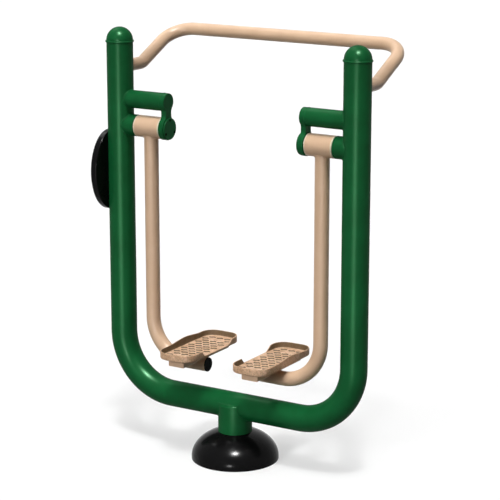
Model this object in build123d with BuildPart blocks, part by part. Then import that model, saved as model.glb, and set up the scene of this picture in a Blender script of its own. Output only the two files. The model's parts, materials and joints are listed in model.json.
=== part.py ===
from build123d import *

import math
import os

# Outdoor air walker: a U frame on one foot, with two legs that swing freely from its arms.
# The origin is the middle of the foot on the ground. X runs across the machine, +Z is up,
# and +Y is the way the user faces, towards the handlebar. Lengths are in millimetres.

# Frame tube, bent into a U
frame_tube_d = 88.9
frame_tube_wall = 4.0
frame_bend_r = 198.0
post_x = 448.5
post_end_z = 1374.0
rail_z = 184.0

# Foot: pedestal, ground flange, ribs and domed cover
pedestal_d = 114.3
pedestal_wall = 4.5
pedestal_rise = 12.0
pedestal_top_round = 7.0
flange_d = 250.0
flange_t = 12.0
flange_edge = 1.5
anchor_inset = 25.0
anchor_hole_d = 18.0
anchor_count = 4
anchor_start_deg = 45.0
gusset_count = 4
gusset_t = 8.0
gusset_h = 62.0
gusset_toe_h = 10.0
gusset_head_w = 6.0
gusset_flange_inset = 10.0
cover_margin = 22.0
cover_wall = 3.5
cover_lip_h = 7.0
cover_dome_h = 97.0
cover_lip_round = 1.2
cover_gap = 0.4

# Caps on the posts
cap_rim_lip = 3.05
cap_rim_h = 7.0
cap_rim_round = 2.5
cap_wall = 2.5
cap_skirt_h = 22.0
cap_skirt_gap = 0.3

# Handlebar
bar_d = 42.4
bar_wall = 3.0
bar_drop = 84.0
bar_rise = 98.0
bar_bend_y = 128.0
bar_cross_y = 329.0
bar_root_bend_r = 55.0
bar_corner_bend_r = 85.0

# Oval sign plate on the left post, without any marking
sign_w = 201.0
sign_h = 273.0
sign_t = 25.0
sign_drop = 158.0
sign_sink = 10.0
sign_face_round = 8.0
sign_back_round = 3.0
sign_screw_inset = 46.5
sign_screw_d = 8.0
sign_screw_head_d = 15.0
sign_screw_head_h = 4.5
sign_screw_reach = 12.0
sign_seat_depth = 7.0
sign_seat_gap = 1.0
hex_key_af = 5.0
hex_key_depth = 3.0
insert_d = 11.0
insert_bulge_d = 14.5
insert_bulge_l = 4.0
insert_bulge_gap = 1.0
insert_l = 16.0
insert_setback = 0.5

# Leg pivot: support arm, hub boss, link plate and its cap
arm_drop = 187.0
arm_rise = 88.0
arm_d = 60.3
arm_wall = 4.0
boss_reach = 70.5
boss_edge = 1.0
link_t = 18.0
link_eye_margin = 1.5
link_neck_w = 34.0
link_neck_round = 20.0
link_edge = 1.0
nut_seat_gap = 7.0
nut_cover_gap = 1.5
link_cap_inset = 2.0
link_cap_t = 6.0
link_cap_groove_depth = 3.0
link_cap_groove_w = 1.5
link_cap_round = 1.2
link_cap_spigot_l = 4.0
link_cap_spigot_wall = 2.5
link_cap_spigot_gap = 0.2
link_screw_inset = 7.0
link_screw_count = 3
link_screw_start_deg = 90.0
link_screw_d = 5.0
link_screw_head_d = 9.6
link_screw_reach = 7.0
link_screw_key_af = 3.0
link_screw_key_depth = 2.0

# Axle and what sits on it
axle_d = 30.0
axle_end_d = 24.0
axle_edge = 1.0
axle_post_gap = 1.0
axle_tip_setback = 0.8
axle_nut_af = 36.0
axle_nut_h = 9.0
axle_sleeve_t = 4.0
hub_gap = 2.0

# Leg hub with two ball bearings 30 x 62 x 16
bearing_h = 16.0
bearing_w = 16.0
race_t = 5.0
hub_wall = 5.5
hub_l = 100.0
hub_edge = 1.2
hub_shoulder_h = 2.0
ball_d = 9.525
ball_gap = 0.06
ball_count = 9
cage_t = 2.2
cage_rim = 1.25
cage_pocket_gap = 0.15
circlip_t = 1.8
circlip_groove_depth = 1.3
circlip_h = 2.75
circlip_play = 0.1
circlip_open_deg = 16.0
circlip_ear_d = 5.0
circlip_ear_hole_d = 2.0
seal_t = 5.0
seal_setback = 0.7
seal_lip_t = 1.6
seal_body_t = 7.0
seal_gap = 0.08

# Swing stop inside the hub
swing_deg = 45.0
stop_lug_half_deg = 15.0
stop_lug_w = 18.0
stop_lug_gap = 0.6
stop_lug_root = 1.0
stop_play_deg = 0.9
stop_pad_deg = 6.0
stop_ring_w = 20.0
stop_ring_t = 6.0

# Leg tube, bent inwards under the pedal
leg_tube_d = 48.3
leg_tube_wall = 3.2
leg_bend_r = 138.0
leg_rail_gap = 56.4
leg_end_inset = 37.0
plug_flange_t = 3.0
plug_flange_round = 1.0
plug_stem_l = 26.0
plug_stem_wall = 2.0
plug_stem_gap = 0.15

# Bearer under the pedal
bearer_w = 60.0
bearer_h = 25.0
bearer_inset = 25.35
bearer_wall = 3.0
bearer_round = 2.5
bearer_sink = 2.0

# Cast foot pedal with an open inner side
pedal_x = 142.0
pedal_w = 135.4
pedal_l = 330.7
pedal_h = 24.0
pedal_outer_rise = 7.5
pedal_corner_r = 45.0
pedal_wall = 4.5
pedal_floor_t = 5.0
pedal_floor_round = 4.0
pedal_rim_round = 1.4
pedal_near_wall_l = 104.35
pedal_near_slope = 25.0
pedal_far_wall_l = 97.35
pedal_far_slope = 42.0
tread_l = 21.0
tread_w = 5.0
tread_bow = 3.2
tread_h = 3.0
tread_taper_deg = 15.0
tread_inset_x = 22.7
tread_inset_y = 33.35
tread_rows = 13
tread_columns = 4
pedal_bolt_inset_x = 15.0
pedal_bolt_inset_y = 41.0
pedal_bolt_d = 8.0
pedal_bolt_head_d = 16.0
pedal_bolt_tip = 1.5
pedal_bolt_key_af = 5.0
pedal_bolt_key_depth = 2.6
pedal_nut_af = 13.0
pedal_nut_h = 6.5

# Extra length of every cut past the face that it leaves by
overrun = 5.0

# Places that follow from the sizes above
post_r = frame_tube_d / 2
pedestal_r = pedestal_d / 2
pedestal_top_z = rail_z + pedestal_rise
anchor_circle_d = flange_d - 2 * anchor_inset
cover_d = flange_d + 2 * cover_margin
cap_rim_d = frame_tube_d + 2 * cap_rim_lip
bar_root_z = post_end_z - bar_drop
bar_cross_z = bar_root_z + bar_rise
arm_z = post_end_z - arm_drop
pivot_z = arm_z - arm_rise
sign_z = pivot_z - sign_drop
sign_screw_pitch = sign_h - 2 * sign_screw_inset
boss_inner_x = post_x - boss_reach
hub_outer_x = boss_inner_x - hub_gap
hub_inner_x = hub_outer_x - hub_l
hub_x = (hub_inner_x + hub_outer_x) / 2
link_outer_x = hub_inner_x - hub_gap
link_inner_x = link_outer_x - link_t
bearing_d = axle_d + 2 * bearing_h
bearing_depth = seal_setback + seal_t + circlip_t
shoulder_depth = bearing_depth + bearing_w
inner_race_d = axle_d + 2 * race_t
outer_race_bore_d = bearing_d - 2 * race_t
ball_circle_r = (axle_d + bearing_d) / 4
cage_w = ball_d + 2 * cage_rim
hub_d = bearing_d + 2 * hub_wall
hub_waist_bore_d = bearing_d - 2 * hub_shoulder_h
circlip_bore_d = bearing_d - 2 * circlip_h
seal_body_d = bearing_d - 2 * seal_body_t
stop_ring_bore_d = hub_waist_bore_d - 2 * stop_ring_t
axle_sleeve_d = axle_d + 2 * axle_sleeve_t
link_eye_d = hub_d + 2 * link_eye_margin
link_cap_d = link_eye_d - 2 * link_cap_inset
link_cap_groove_d = link_cap_d - 2 * link_cap_groove_depth
link_screw_circle_d = link_cap_d - 2 * link_screw_inset
nut_seat_d = axle_nut_af + 2 * nut_seat_gap
nut_seat_depth = axle_nut_h + nut_cover_gap
nut_inner_x = link_inner_x + nut_cover_gap
leg_run_z = rail_z + post_r + leg_rail_gap + leg_tube_d / 2
leg_end_x = pedal_x - leg_end_inset
bearer_z = leg_run_z + leg_tube_d / 2 - bearer_sink
bearer_l = pedal_l - 2 * bearer_inset
pedal_z = bearer_z + bearer_h
pedal_near_gap_y = pedal_l / 2 - pedal_near_wall_l
pedal_far_gap_y = pedal_l / 2 - pedal_far_wall_l
tread_pitch_x = (pedal_w - 2 * tread_inset_x) / (tread_columns - 1)
tread_pitch_y = (pedal_l - 2 * tread_inset_y) / (tread_rows - 1)
pedal_bolt_pitch_x = bearer_w - 2 * pedal_bolt_inset_x
pedal_bolt_pitch_y = bearer_l - 2 * pedal_bolt_inset_y
pedal_floor_z = pedal_z + pedal_floor_t
pedal_rim_z = pedal_z + pedal_h
pedal_crest_z = pedal_rim_z + pedal_outer_rise
pivot_axis = Axis((0, 0, pivot_z), (1, 0, 0))
sides = (("left", -1), ("right", 1))

os.makedirs("parts", exist_ok=True)


def write_piece(piece, label):
    """Name a finished piece and write it under that name."""
    piece.part.label = label
    export_step(piece.part, f"parts/{label}.step")


def across(side, x, z=pivot_z):
    """Plane square to X at a distance from the middle, facing the outside of its side."""
    return Plane(origin=(side * x, 0, z), x_dir=(0, side, 0), z_dir=(side, 0, 0))


def turning(side):
    """Plane for turned profiles: first the distance from the middle, then the radius."""
    return Plane(origin=(0, 0, pivot_z), x_dir=(side, 0, 0), z_dir=(0, -side, 0))


def sector_line(inner_r, outer_r, start_deg, sweep_deg):
    """Outline of a piece of a ring, for make_face."""
    with BuildLine() as ring:
        outer = CenterArc((0, 0), outer_r, start_deg, sweep_deg)
        inner = CenterArc((0, 0), inner_r, start_deg, sweep_deg)
        Line(outer @ 0, inner @ 0)
        Line(outer @ 1, inner @ 1)
    return ring.line


# Ground flange with its ring of anchor holes
def make_flange():
    with BuildPart() as flange:
        with BuildSketch(Plane.XY):
            Circle(flange_d / 2)
            with PolarLocations(anchor_circle_d / 2, anchor_count, start_angle=anchor_start_deg):
                Circle(anchor_hole_d / 2, mode=Mode.SUBTRACT)
        extrude(amount=flange_t)
        rim = flange.faces().sort_by(Axis.Z)[-1].outer_wire().edges()
        chamfer(rim, flange_edge)
    write_piece(flange, "base_flange")


# Ribs between the flange and the pedestal, one every quarter turn
def make_gussets():
    outer_r = flange_d / 2 - gusset_flange_inset
    inner_r = pedestal_r - pedestal_wall
    head_r = pedestal_r + gusset_head_w
    head_z = flange_t + gusset_h
    with BuildPart() as gussets:
        for number in range(gusset_count):
            turn = number * 360 / gusset_count
            with BuildSketch(Plane.XZ.rotated((0, 0, turn))):
                Polygon(
                    (inner_r, flange_t),
                    (outer_r, flange_t),
                    (outer_r, flange_t + gusset_toe_h),
                    (head_r, head_z),
                    (inner_r, head_z),
                    align=None,
                )
            extrude(amount=gusset_t / 2, both=True)
        with BuildSketch(Plane.XY):
            Circle(pedestal_r)
        extrude(amount=head_z + overrun, mode=Mode.SUBTRACT)
    write_piece(gussets, "base_gussets")


# Pedestal, closed at its top and shaped round the rail that it carries
def make_pedestal():
    with BuildPart() as pedestal:
        with BuildSketch(Plane.XY.offset(flange_t)):
            Circle(pedestal_r)
        extrude(amount=pedestal_top_z - flange_t)
        fillet(pedestal.edges().group_by(Axis.Z)[-1], pedestal_top_round)
        with BuildSketch(Plane.XY.offset(flange_t)):
            Circle(pedestal_r - pedestal_wall)
        extrude(amount=pedestal_top_z - pedestal_wall - flange_t, mode=Mode.SUBTRACT)
        with BuildSketch(Plane.YZ.offset(-pedestal_d)):
            with Locations((0, rail_z)):
                Circle(post_r)
        extrude(amount=2 * pedestal_d, mode=Mode.SUBTRACT)
    write_piece(pedestal, "pedestal_tube")


# Domed cover over the flange: a thin elliptical shell on a short upright lip
def make_cover():
    outer_r = cover_d / 2
    inner_r = outer_r - cover_wall
    inner_h = cover_dome_h - cover_wall
    neck_r = pedestal_r + cover_gap
    outer_end_deg = math.degrees(math.acos(neck_r / outer_r))
    inner_end_deg = math.degrees(math.acos(neck_r / inner_r))
    with BuildPart() as cover:
        with BuildSketch(Plane.XZ):
            with BuildLine():
                Line((inner_r, 0), (outer_r, 0))
                Line((outer_r, 0), (outer_r, cover_lip_h))
                outer = EllipticalCenterArc(
                    (0, cover_lip_h), outer_r, cover_dome_h, arc_size=outer_end_deg
                )
                inner = EllipticalCenterArc(
                    (0, cover_lip_h), inner_r, inner_h, arc_size=inner_end_deg
                )
                Line(outer @ 1, inner @ 1)
                Line((inner_r, cover_lip_h), (inner_r, 0))
            make_face()
        revolve(axis=Axis.Z)
        lip = cover.edges().filter_by(GeomType.CIRCLE).group_by(Axis.Z)[0]
        fillet(lip, cover_lip_round)
    write_piece(cover, "base_cover")


# Frame: one tube bent into a U, open at both top ends
def make_frame():
    with BuildPart() as frame:
        with BuildLine():
            FilletPolyline(
                (-post_x, 0, post_end_z),
                (-post_x, 0, rail_z),
                (post_x, 0, rail_z),
                (post_x, 0, post_end_z),
                radius=frame_bend_r,
            )
        with BuildSketch(Plane(origin=(-post_x, 0, post_end_z), z_dir=(0, 0, -1))):
            Circle(post_r)
            Circle(post_r - frame_tube_wall, mode=Mode.SUBTRACT)
        sweep()
        with BuildSketch(across(-1, post_x, sign_z)):
            with GridLocations(sign_screw_pitch, sign_screw_pitch, 1, 2):
                Circle(insert_d / 2)
        extrude(amount=post_r + overrun, mode=Mode.SUBTRACT)
    write_piece(frame, "main_frame")


# Cap on each post: a dome on a beaded rim, with a skirt inside the tube
def make_post_cap(name, side):
    rim_r = cap_rim_d / 2
    skirt_r = post_r - frame_tube_wall - cap_skirt_gap
    with BuildPart() as cap:
        with BuildSketch(Plane(origin=(side * post_x, 0, post_end_z), x_dir=(1, 0, 0), z_dir=(0, -1, 0))):
            with BuildLine():
                Line((skirt_r - cap_wall, -cap_skirt_h), (skirt_r, -cap_skirt_h))
                Line((skirt_r, -cap_skirt_h), (skirt_r, 0))
                Line((skirt_r, 0), (rim_r, 0))
                Line((rim_r, 0), (rim_r, cap_rim_h))
                Line((rim_r, cap_rim_h), (post_r, cap_rim_h))
                outer = CenterArc((0, cap_rim_h), post_r, 0, 90)
                inner = CenterArc((0, cap_rim_h), post_r - cap_wall, 0, 90)
                Line(outer @ 1, inner @ 1)
                Line(inner @ 0, (skirt_r - cap_wall, 0))
                Line((skirt_r - cap_wall, 0), (skirt_r - cap_wall, -cap_skirt_h))
            make_face()
        revolve(axis=Axis((side * post_x, 0, 0), (0, 0, 1)))
        rim = cap.edges().filter_by(GeomType.CIRCLE).group_by(SortBy.RADIUS)[-1]
        fillet(rim, cap_rim_round)
    write_piece(cap, f"{name}_post_cap")


# Handlebar: from the back of each post outwards and up to the crossbar
def make_handlebar():
    with BuildPart() as bar:
        with BuildLine():
            FilletPolyline(
                (-post_x, 0, bar_root_z),
                (-post_x, bar_bend_y, bar_root_z),
                (-post_x, bar_cross_y, bar_cross_z),
                (post_x, bar_cross_y, bar_cross_z),
                (post_x, bar_bend_y, bar_root_z),
                (post_x, 0, bar_root_z),
                radius=(bar_root_bend_r, bar_corner_bend_r, bar_corner_bend_r, bar_root_bend_r),
            )
        with BuildSketch(Plane(origin=(-post_x, 0, bar_root_z), z_dir=(0, 1, 0))):
            Circle(bar_d / 2)
            Circle(bar_d / 2 - bar_wall, mode=Mode.SUBTRACT)
        sweep()
        with BuildSketch(Plane.XY.offset(bar_root_z - bar_d)):
            with GridLocations(2 * post_x, post_x, 2, 1):
                Circle(post_r)
        extrude(amount=2 * bar_d, mode=Mode.SUBTRACT)
    write_piece(bar, "handlebar")


# Support arm from the post to the link plate
def make_arm(name, side):
    with BuildPart() as arm:
        with BuildSketch(across(side, link_outer_x, arm_z)):
            Circle(arm_d / 2)
            Circle(arm_d / 2 - arm_wall, mode=Mode.SUBTRACT)
        extrude(amount=post_x - link_outer_x)
        with BuildSketch(Plane.XY.offset(arm_z - arm_d)):
            with Locations((side * post_x, 0)):
                Circle(post_r)
        extrude(amount=2 * arm_d, mode=Mode.SUBTRACT)
    write_piece(arm, f"{name}_support_arm")


# Boss on the post that holds the outer end of the axle
def make_boss(name, side):
    with BuildPart() as boss:
        with BuildSketch(across(side, boss_inner_x)):
            Circle(hub_d / 2)
            Circle(axle_d / 2, mode=Mode.SUBTRACT)
        extrude(amount=post_x - boss_inner_x)
        face = boss.faces().sort_by(Axis.X)[0 if side > 0 else -1]
        chamfer(face.outer_wire().edges(), boss_edge)
        with BuildSketch(Plane.XY.offset(pivot_z - hub_d)):
            with Locations((side * post_x, 0)):
                Circle(post_r)
        extrude(amount=2 * hub_d, mode=Mode.SUBTRACT)
    write_piece(boss, f"{name}_hub_boss")


# Link plate: a round eye under the arm's end, joined by a waisted neck
def make_link_plate(name, side):
    eye_r = link_eye_d / 2
    with BuildPart() as link:
        with BuildSketch(across(side, link_inner_x)) as face:
            Rectangle(link_neck_w, arm_rise, align=(Align.CENTER, Align.MIN))
            Circle(eye_r)
            with Locations((0, arm_rise)):
                Circle(arm_d / 2)
            corners = face.vertices().filter_by(
                lambda corner: abs(abs(corner.X) - link_neck_w / 2) < link_neck_w / 4
            )
            fillet(corners, link_neck_round)
        extrude(amount=link_t)
        chamfer(link.faces().sort_by(Axis.X)[0 if side > 0 else -1].edges(), link_edge)
        with BuildSketch(across(side, link_inner_x - overrun)):
            Circle(axle_end_d / 2)
        extrude(amount=link_t + 2 * overrun, mode=Mode.SUBTRACT)
        with BuildSketch(across(side, link_inner_x - overrun)):
            Circle(nut_seat_d / 2)
        extrude(amount=nut_seat_depth + overrun, mode=Mode.SUBTRACT)
        with BuildSketch(across(side, link_inner_x - overrun)):
            with PolarLocations(link_screw_circle_d / 2, link_screw_count, start_angle=link_screw_start_deg):
                Circle(link_screw_d / 2)
        extrude(amount=link_screw_reach + overrun, mode=Mode.SUBTRACT)
    write_piece(link, f"{name}_link_plate")


# Cap over the axle nut, held by small countersunk screws
def make_link_cap(name, side):
    outer_x = link_inner_x - link_cap_t
    groove_x = link_inner_x - link_cap_groove_w
    spigot_x = link_inner_x + link_cap_spigot_l
    spigot_r = nut_seat_d / 2 - link_cap_spigot_gap
    with BuildPart() as cap:
        with BuildSketch(turning(side)):
            Polygon(
                (outer_x, 0),
                (outer_x, link_cap_d / 2),
                (groove_x, link_cap_d / 2),
                (groove_x, link_cap_groove_d / 2),
                (link_inner_x, link_cap_groove_d / 2),
                (link_inner_x, spigot_r),
                (spigot_x, spigot_r),
                (spigot_x, spigot_r - link_cap_spigot_wall),
                (link_inner_x, spigot_r - link_cap_spigot_wall),
                (link_inner_x, 0),
                align=None,
            )
        revolve(axis=pivot_axis)
        rim = cap.edges().filter_by(GeomType.CIRCLE).group_by(SortBy.RADIUS)[-1]
        fillet(rim, link_cap_round)
        with Locations(across(-side, -outer_x)):
            with PolarLocations(link_screw_circle_d / 2, link_screw_count, start_angle=link_screw_start_deg):
                CounterSinkHole(link_screw_d / 2, link_screw_head_d / 2, depth=link_cap_t + overrun)
    write_piece(cap, f"{name}_link_cap")


def make_link_screws(name, side):
    outer_x = link_inner_x - link_cap_t
    head_h = (link_screw_head_d - link_screw_d) / 2
    with BuildPart() as screws:
        with BuildSketch(across(side, outer_x + head_h)):
            with PolarLocations(link_screw_circle_d / 2, link_screw_count, start_angle=link_screw_start_deg):
                Circle(link_screw_d / 2)
        extrude(amount=link_cap_t - head_h + link_screw_reach)
        with Locations(across(side, outer_x + head_h / 2)):
            with PolarLocations(link_screw_circle_d / 2, link_screw_count, start_angle=link_screw_start_deg):
                Cone(link_screw_head_d / 2, link_screw_d / 2, head_h)
        with BuildSketch(across(side, outer_x)):
            with PolarLocations(link_screw_circle_d / 2, link_screw_count, start_angle=link_screw_start_deg):
                RegularPolygon(link_screw_key_af / 2, 6, major_radius=False)
        extrude(amount=link_screw_key_depth, mode=Mode.SUBTRACT)
    write_piece(screws, f"{name}_link_cap_screws")


# Axle: a plain journal from the boss to the link plate, then a threaded end
def make_axle(name, side):
    outer_x = post_x - post_r - axle_post_gap
    tip_x = link_inner_x + axle_tip_setback
    with BuildPart() as axle:
        with BuildSketch(turning(side)):
            Polygon(
                (tip_x, 0),
                (tip_x, axle_end_d / 2 - axle_edge),
                (tip_x + axle_edge, axle_end_d / 2),
                (link_outer_x, axle_end_d / 2),
                (link_outer_x, axle_d / 2),
                (outer_x - axle_edge, axle_d / 2),
                (outer_x, axle_d / 2 - axle_edge),
                (outer_x, 0),
                align=None,
            )
        revolve(axis=pivot_axis)
    write_piece(axle, f"{name}_axle")


def make_axle_nut(name, side):
    with BuildPart() as nut:
        with BuildSketch(across(side, nut_inner_x)):
            RegularPolygon(axle_nut_af / 2, 6, major_radius=False)
            Circle(axle_end_d / 2, mode=Mode.SUBTRACT)
        extrude(amount=axle_nut_h)
    write_piece(nut, f"{name}_axle_nut")


# Distance collars at both ends of the hub
def make_collars(name, side):
    with BuildPart() as collars:
        for start_x in (link_outer_x, hub_outer_x - bearing_depth):
            with BuildSketch(across(side, start_x)):
                Circle(axle_sleeve_d / 2)
                Circle(axle_d / 2, mode=Mode.SUBTRACT)
            extrude(amount=hub_gap + bearing_depth)
    write_piece(collars, f"{name}_axle_collars")


# Spacer between the bearings, with the fixed stop lug on its top
def make_spacer(name, side):
    lug_r = hub_waist_bore_d / 2 - stop_lug_gap
    lug_root_r = axle_sleeve_d / 2 - stop_lug_root
    lug = sector_line(lug_root_r, lug_r, 90 - stop_lug_half_deg, 2 * stop_lug_half_deg)
    with BuildPart() as spacer:
        with BuildSketch(across(side, hub_inner_x + shoulder_depth)):
            Circle(axle_sleeve_d / 2)
            Circle(axle_d / 2, mode=Mode.SUBTRACT)
        extrude(amount=hub_l - 2 * shoulder_depth)
        with BuildSketch(across(side, hub_x)):
            make_face(lug.edges())
        extrude(amount=stop_lug_w / 2, both=True)
    write_piece(spacer, f"{name}_axle_spacer")


def race_starts():
    """Where each bearing of a hub starts, as a distance from the middle of the machine."""
    return (hub_inner_x + bearing_depth, hub_outer_x - bearing_depth - bearing_w)


# Bearing races, each with its ball groove
def make_races(name, side, label, inner_r, outer_r):
    groove_r = ball_d / 2 + ball_gap
    with BuildPart() as races:
        for start_x in race_starts():
            with BuildSketch(turning(side)):
                with Locations((start_x + bearing_w / 2, (inner_r + outer_r) / 2)):
                    Rectangle(bearing_w, outer_r - inner_r)
                with Locations((start_x + bearing_w / 2, ball_circle_r)):
                    Circle(groove_r, mode=Mode.SUBTRACT)
            revolve(axis=pivot_axis)
    write_piece(races, f"{name}_{label}")


def make_balls(name, side):
    with BuildPart() as balls:
        for start_x in race_starts():
            with Locations(across(side, start_x + bearing_w / 2)):
                with PolarLocations(ball_circle_r, ball_count):
                    Sphere(ball_d / 2)
    write_piece(balls, f"{name}_bearing_balls")


def make_cages(name, side):
    with BuildPart() as cages:
        for start_x in race_starts():
            with BuildSketch(across(side, start_x + (bearing_w - cage_w) / 2)):
                Circle(ball_circle_r + cage_t / 2)
                Circle(ball_circle_r - cage_t / 2, mode=Mode.SUBTRACT)
            extrude(amount=cage_w)
            with Locations(across(side, start_x + bearing_w / 2)):
                with PolarLocations(ball_circle_r, ball_count):
                    Cylinder(
                        ball_d / 2 + cage_pocket_gap, 2 * cage_t, rotation=(0, 90, 0), mode=Mode.SUBTRACT
                    )
    write_piece(cages, f"{name}_ball_cages")


# Hub: a turned sleeve with a bearing seat, circlip groove and seal seat at each end
def make_hub(name, side):
    seat_r = bearing_d / 2
    groove_r = seat_r + circlip_groove_depth
    groove_start = seal_setback + seal_t
    with BuildPart() as hub:
        with BuildSketch(turning(side)):
            Polygon(
                (hub_inner_x, seat_r),
                (hub_inner_x, hub_d / 2 - hub_edge),
                (hub_inner_x + hub_edge, hub_d / 2),
                (hub_outer_x - hub_edge, hub_d / 2),
                (hub_outer_x, hub_d / 2 - hub_edge),
                (hub_outer_x, seat_r),
                (hub_outer_x - groove_start, seat_r),
                (hub_outer_x - groove_start, groove_r),
                (hub_outer_x - bearing_depth, groove_r),
                (hub_outer_x - bearing_depth, seat_r),
                (hub_outer_x - shoulder_depth, seat_r),
                (hub_outer_x - shoulder_depth, hub_waist_bore_d / 2),
                (hub_inner_x + shoulder_depth, hub_waist_bore_d / 2),
                (hub_inner_x + shoulder_depth, seat_r),
                (hub_inner_x + bearing_depth, seat_r),
                (hub_inner_x + bearing_depth, groove_r),
                (hub_inner_x + groove_start, groove_r),
                (hub_inner_x + groove_start, seat_r),
                align=None,
            )
        revolve(axis=pivot_axis)
    write_piece(hub, f"{name}_hub_sleeve")


# Circlips: open spring rings with an ear at each end of the gap
def make_circlips(name, side):
    clip_r = bearing_d / 2 + circlip_groove_depth - circlip_play
    ear_r = circlip_bore_d / 2
    start_deg = circlip_open_deg / 2 - 90
    ring = sector_line(circlip_bore_d / 2, clip_r, start_deg, 360 - circlip_open_deg)
    with BuildPart() as clips:
        for start_x in (hub_inner_x + seal_setback + seal_t, hub_outer_x - bearing_depth):
            with BuildSketch(across(side, start_x)):
                make_face(ring.edges())
                for ear_deg in (start_deg, 180 - start_deg):
                    turn = math.radians(ear_deg)
                    with Locations((ear_r * math.cos(turn), ear_r * math.sin(turn))):
                        Circle(circlip_ear_d / 2)
                        Circle(circlip_ear_hole_d / 2, mode=Mode.SUBTRACT)
            extrude(amount=circlip_t)
    write_piece(clips, f"{name}_hub_circlips")


# Seals: a rubber body in the hub's end with a thin lip that wipes the collar
def make_seals(name, side):
    lip_r = axle_sleeve_d / 2 + seal_gap
    body_r = seal_body_d / 2
    seat_r = bearing_d / 2
    with BuildPart() as seals:
        for face_x, inward in ((hub_inner_x, 1), (hub_outer_x, -1)):
            outer_x = face_x + inward * seal_setback
            lip_x = outer_x + inward * seal_lip_t
            inner_x = outer_x + inward * seal_t
            with BuildSketch(turning(side)):
                Polygon(
                    (outer_x, lip_r),
                    (outer_x, seat_r),
                    (inner_x, seat_r),
                    (inner_x, body_r),
                    (lip_x, body_r),
                    (lip_x, lip_r),
                    align=None,
                )
            revolve(axis=pivot_axis)
    write_piece(seals, f"{name}_hub_seals")


# Stop ring welded in the hub's waist, open at the top round the fixed lug
def make_stop_ring(name, side):
    window_deg = stop_lug_half_deg + swing_deg + stop_play_deg + stop_pad_deg
    ring_line = sector_line(
        stop_ring_bore_d / 2, hub_waist_bore_d / 2, 90 + window_deg, 360 - 2 * window_deg
    )
    with BuildPart() as ring:
        with BuildSketch(across(side, hub_x)):
            make_face(ring_line.edges())
        extrude(amount=stop_ring_w / 2, both=True)
    write_piece(ring, f"{name}_stop_ring")


def make_stop_pads(name, side):
    face_deg = stop_lug_half_deg + swing_deg + stop_play_deg
    with BuildPart() as pads:
        for start_deg in (90 + face_deg, 90 - face_deg - stop_pad_deg):
            pad = sector_line(stop_ring_bore_d / 2, hub_waist_bore_d / 2, start_deg, stop_pad_deg)
            with BuildSketch(across(side, hub_x)):
                make_face(pad.edges())
            extrude(amount=stop_ring_w / 2, both=True)
    write_piece(pads, f"{name}_stop_pads")


# Leg tube: down from the hub, round the bend and inwards under the pedal
def make_leg_tube(name, side):
    with BuildPart() as leg:
        with BuildLine():
            FilletPolyline(
                (side * hub_x, 0, pivot_z),
                (side * hub_x, 0, leg_run_z),
                (side * (leg_end_x + plug_flange_t), 0, leg_run_z),
                radius=leg_bend_r,
            )
        with BuildSketch(Plane(origin=(side * hub_x, 0, pivot_z), z_dir=(0, 0, -1))):
            Circle(leg_tube_d / 2)
            Circle(leg_tube_d / 2 - leg_tube_wall, mode=Mode.SUBTRACT)
        sweep()
        with BuildSketch(across(side, hub_x)):
            Circle(hub_d / 2)
        extrude(amount=leg_tube_d, both=True, mode=Mode.SUBTRACT)
    write_piece(leg, f"{name}_leg_tube")


# Plastic plug in the leg tube's inner end
def make_plug(name, side):
    stem_r = leg_tube_d / 2 - leg_tube_wall - plug_stem_gap
    with BuildPart() as plug:
        with BuildSketch(across(side, leg_end_x, leg_run_z)):
            Circle(leg_tube_d / 2)
        extrude(amount=plug_flange_t)
        face_edge = plug.edges().group_by(Axis.X)[0 if side > 0 else -1]
        fillet(face_edge, plug_flange_round)
        with BuildSketch(across(side, leg_end_x + plug_flange_t, leg_run_z)):
            Circle(stem_r)
            Circle(stem_r - plug_stem_wall, mode=Mode.SUBTRACT)
        extrude(amount=plug_stem_l)
    write_piece(plug, f"{name}_end_plug")


def bolt_places(side):
    """The four bolt places of a pedal, as points on the ground plan."""
    return [
        (side * pedal_x + i * pedal_bolt_pitch_x / 2, j * pedal_bolt_pitch_y / 2)
        for i in (-1, 1)
        for j in (-1, 1)
    ]


# Bearer: a closed box section across the leg tube, let onto it by a shallow saddle
def make_bearer(name, side):
    with BuildPart() as bearer:
        with BuildSketch(Plane.XY.offset(bearer_z)):
            with Locations((side * pedal_x, 0)):
                Rectangle(bearer_w, bearer_l)
        extrude(amount=bearer_h)
        fillet(bearer.edges().filter_by(Axis.Y), bearer_round)
        with BuildSketch(Plane.XY.offset(bearer_z + bearer_wall)):
            with Locations((side * pedal_x, 0)):
                Rectangle(bearer_w - 2 * bearer_wall, bearer_l - 2 * bearer_wall)
        extrude(amount=bearer_h - 2 * bearer_wall, mode=Mode.SUBTRACT)
        with BuildSketch(Plane.XY.offset(pedal_z - bearer_wall - overrun)):
            with Locations(*bolt_places(side)):
                Circle(pedal_bolt_d / 2)
        extrude(amount=bearer_wall + 2 * overrun, mode=Mode.SUBTRACT)
        with BuildSketch(across(side, pedal_x - bearer_w, leg_run_z)):
            Circle(leg_tube_d / 2)
        extrude(amount=2 * bearer_w, mode=Mode.SUBTRACT)
    write_piece(bearer, f"{name}_pedal_bearer")


def tread_places():
    """Places of the raised treads about the pedal's middle, rows staggered by half a pitch."""
    places = []
    clear = (tread_l + pedal_bolt_head_d) / 2
    for row in range(tread_rows):
        y = (row - (tread_rows - 1) / 2) * tread_pitch_y
        columns = tread_columns - 1 + row % 2
        for column in range(columns):
            x = (column - (columns - 1) / 2) * tread_pitch_x
            bolt_gap = math.hypot(abs(x) - pedal_bolt_pitch_x / 2, abs(y) - pedal_bolt_pitch_y / 2)
            if bolt_gap > clear:
                places.append((x, y))
    return places


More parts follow.
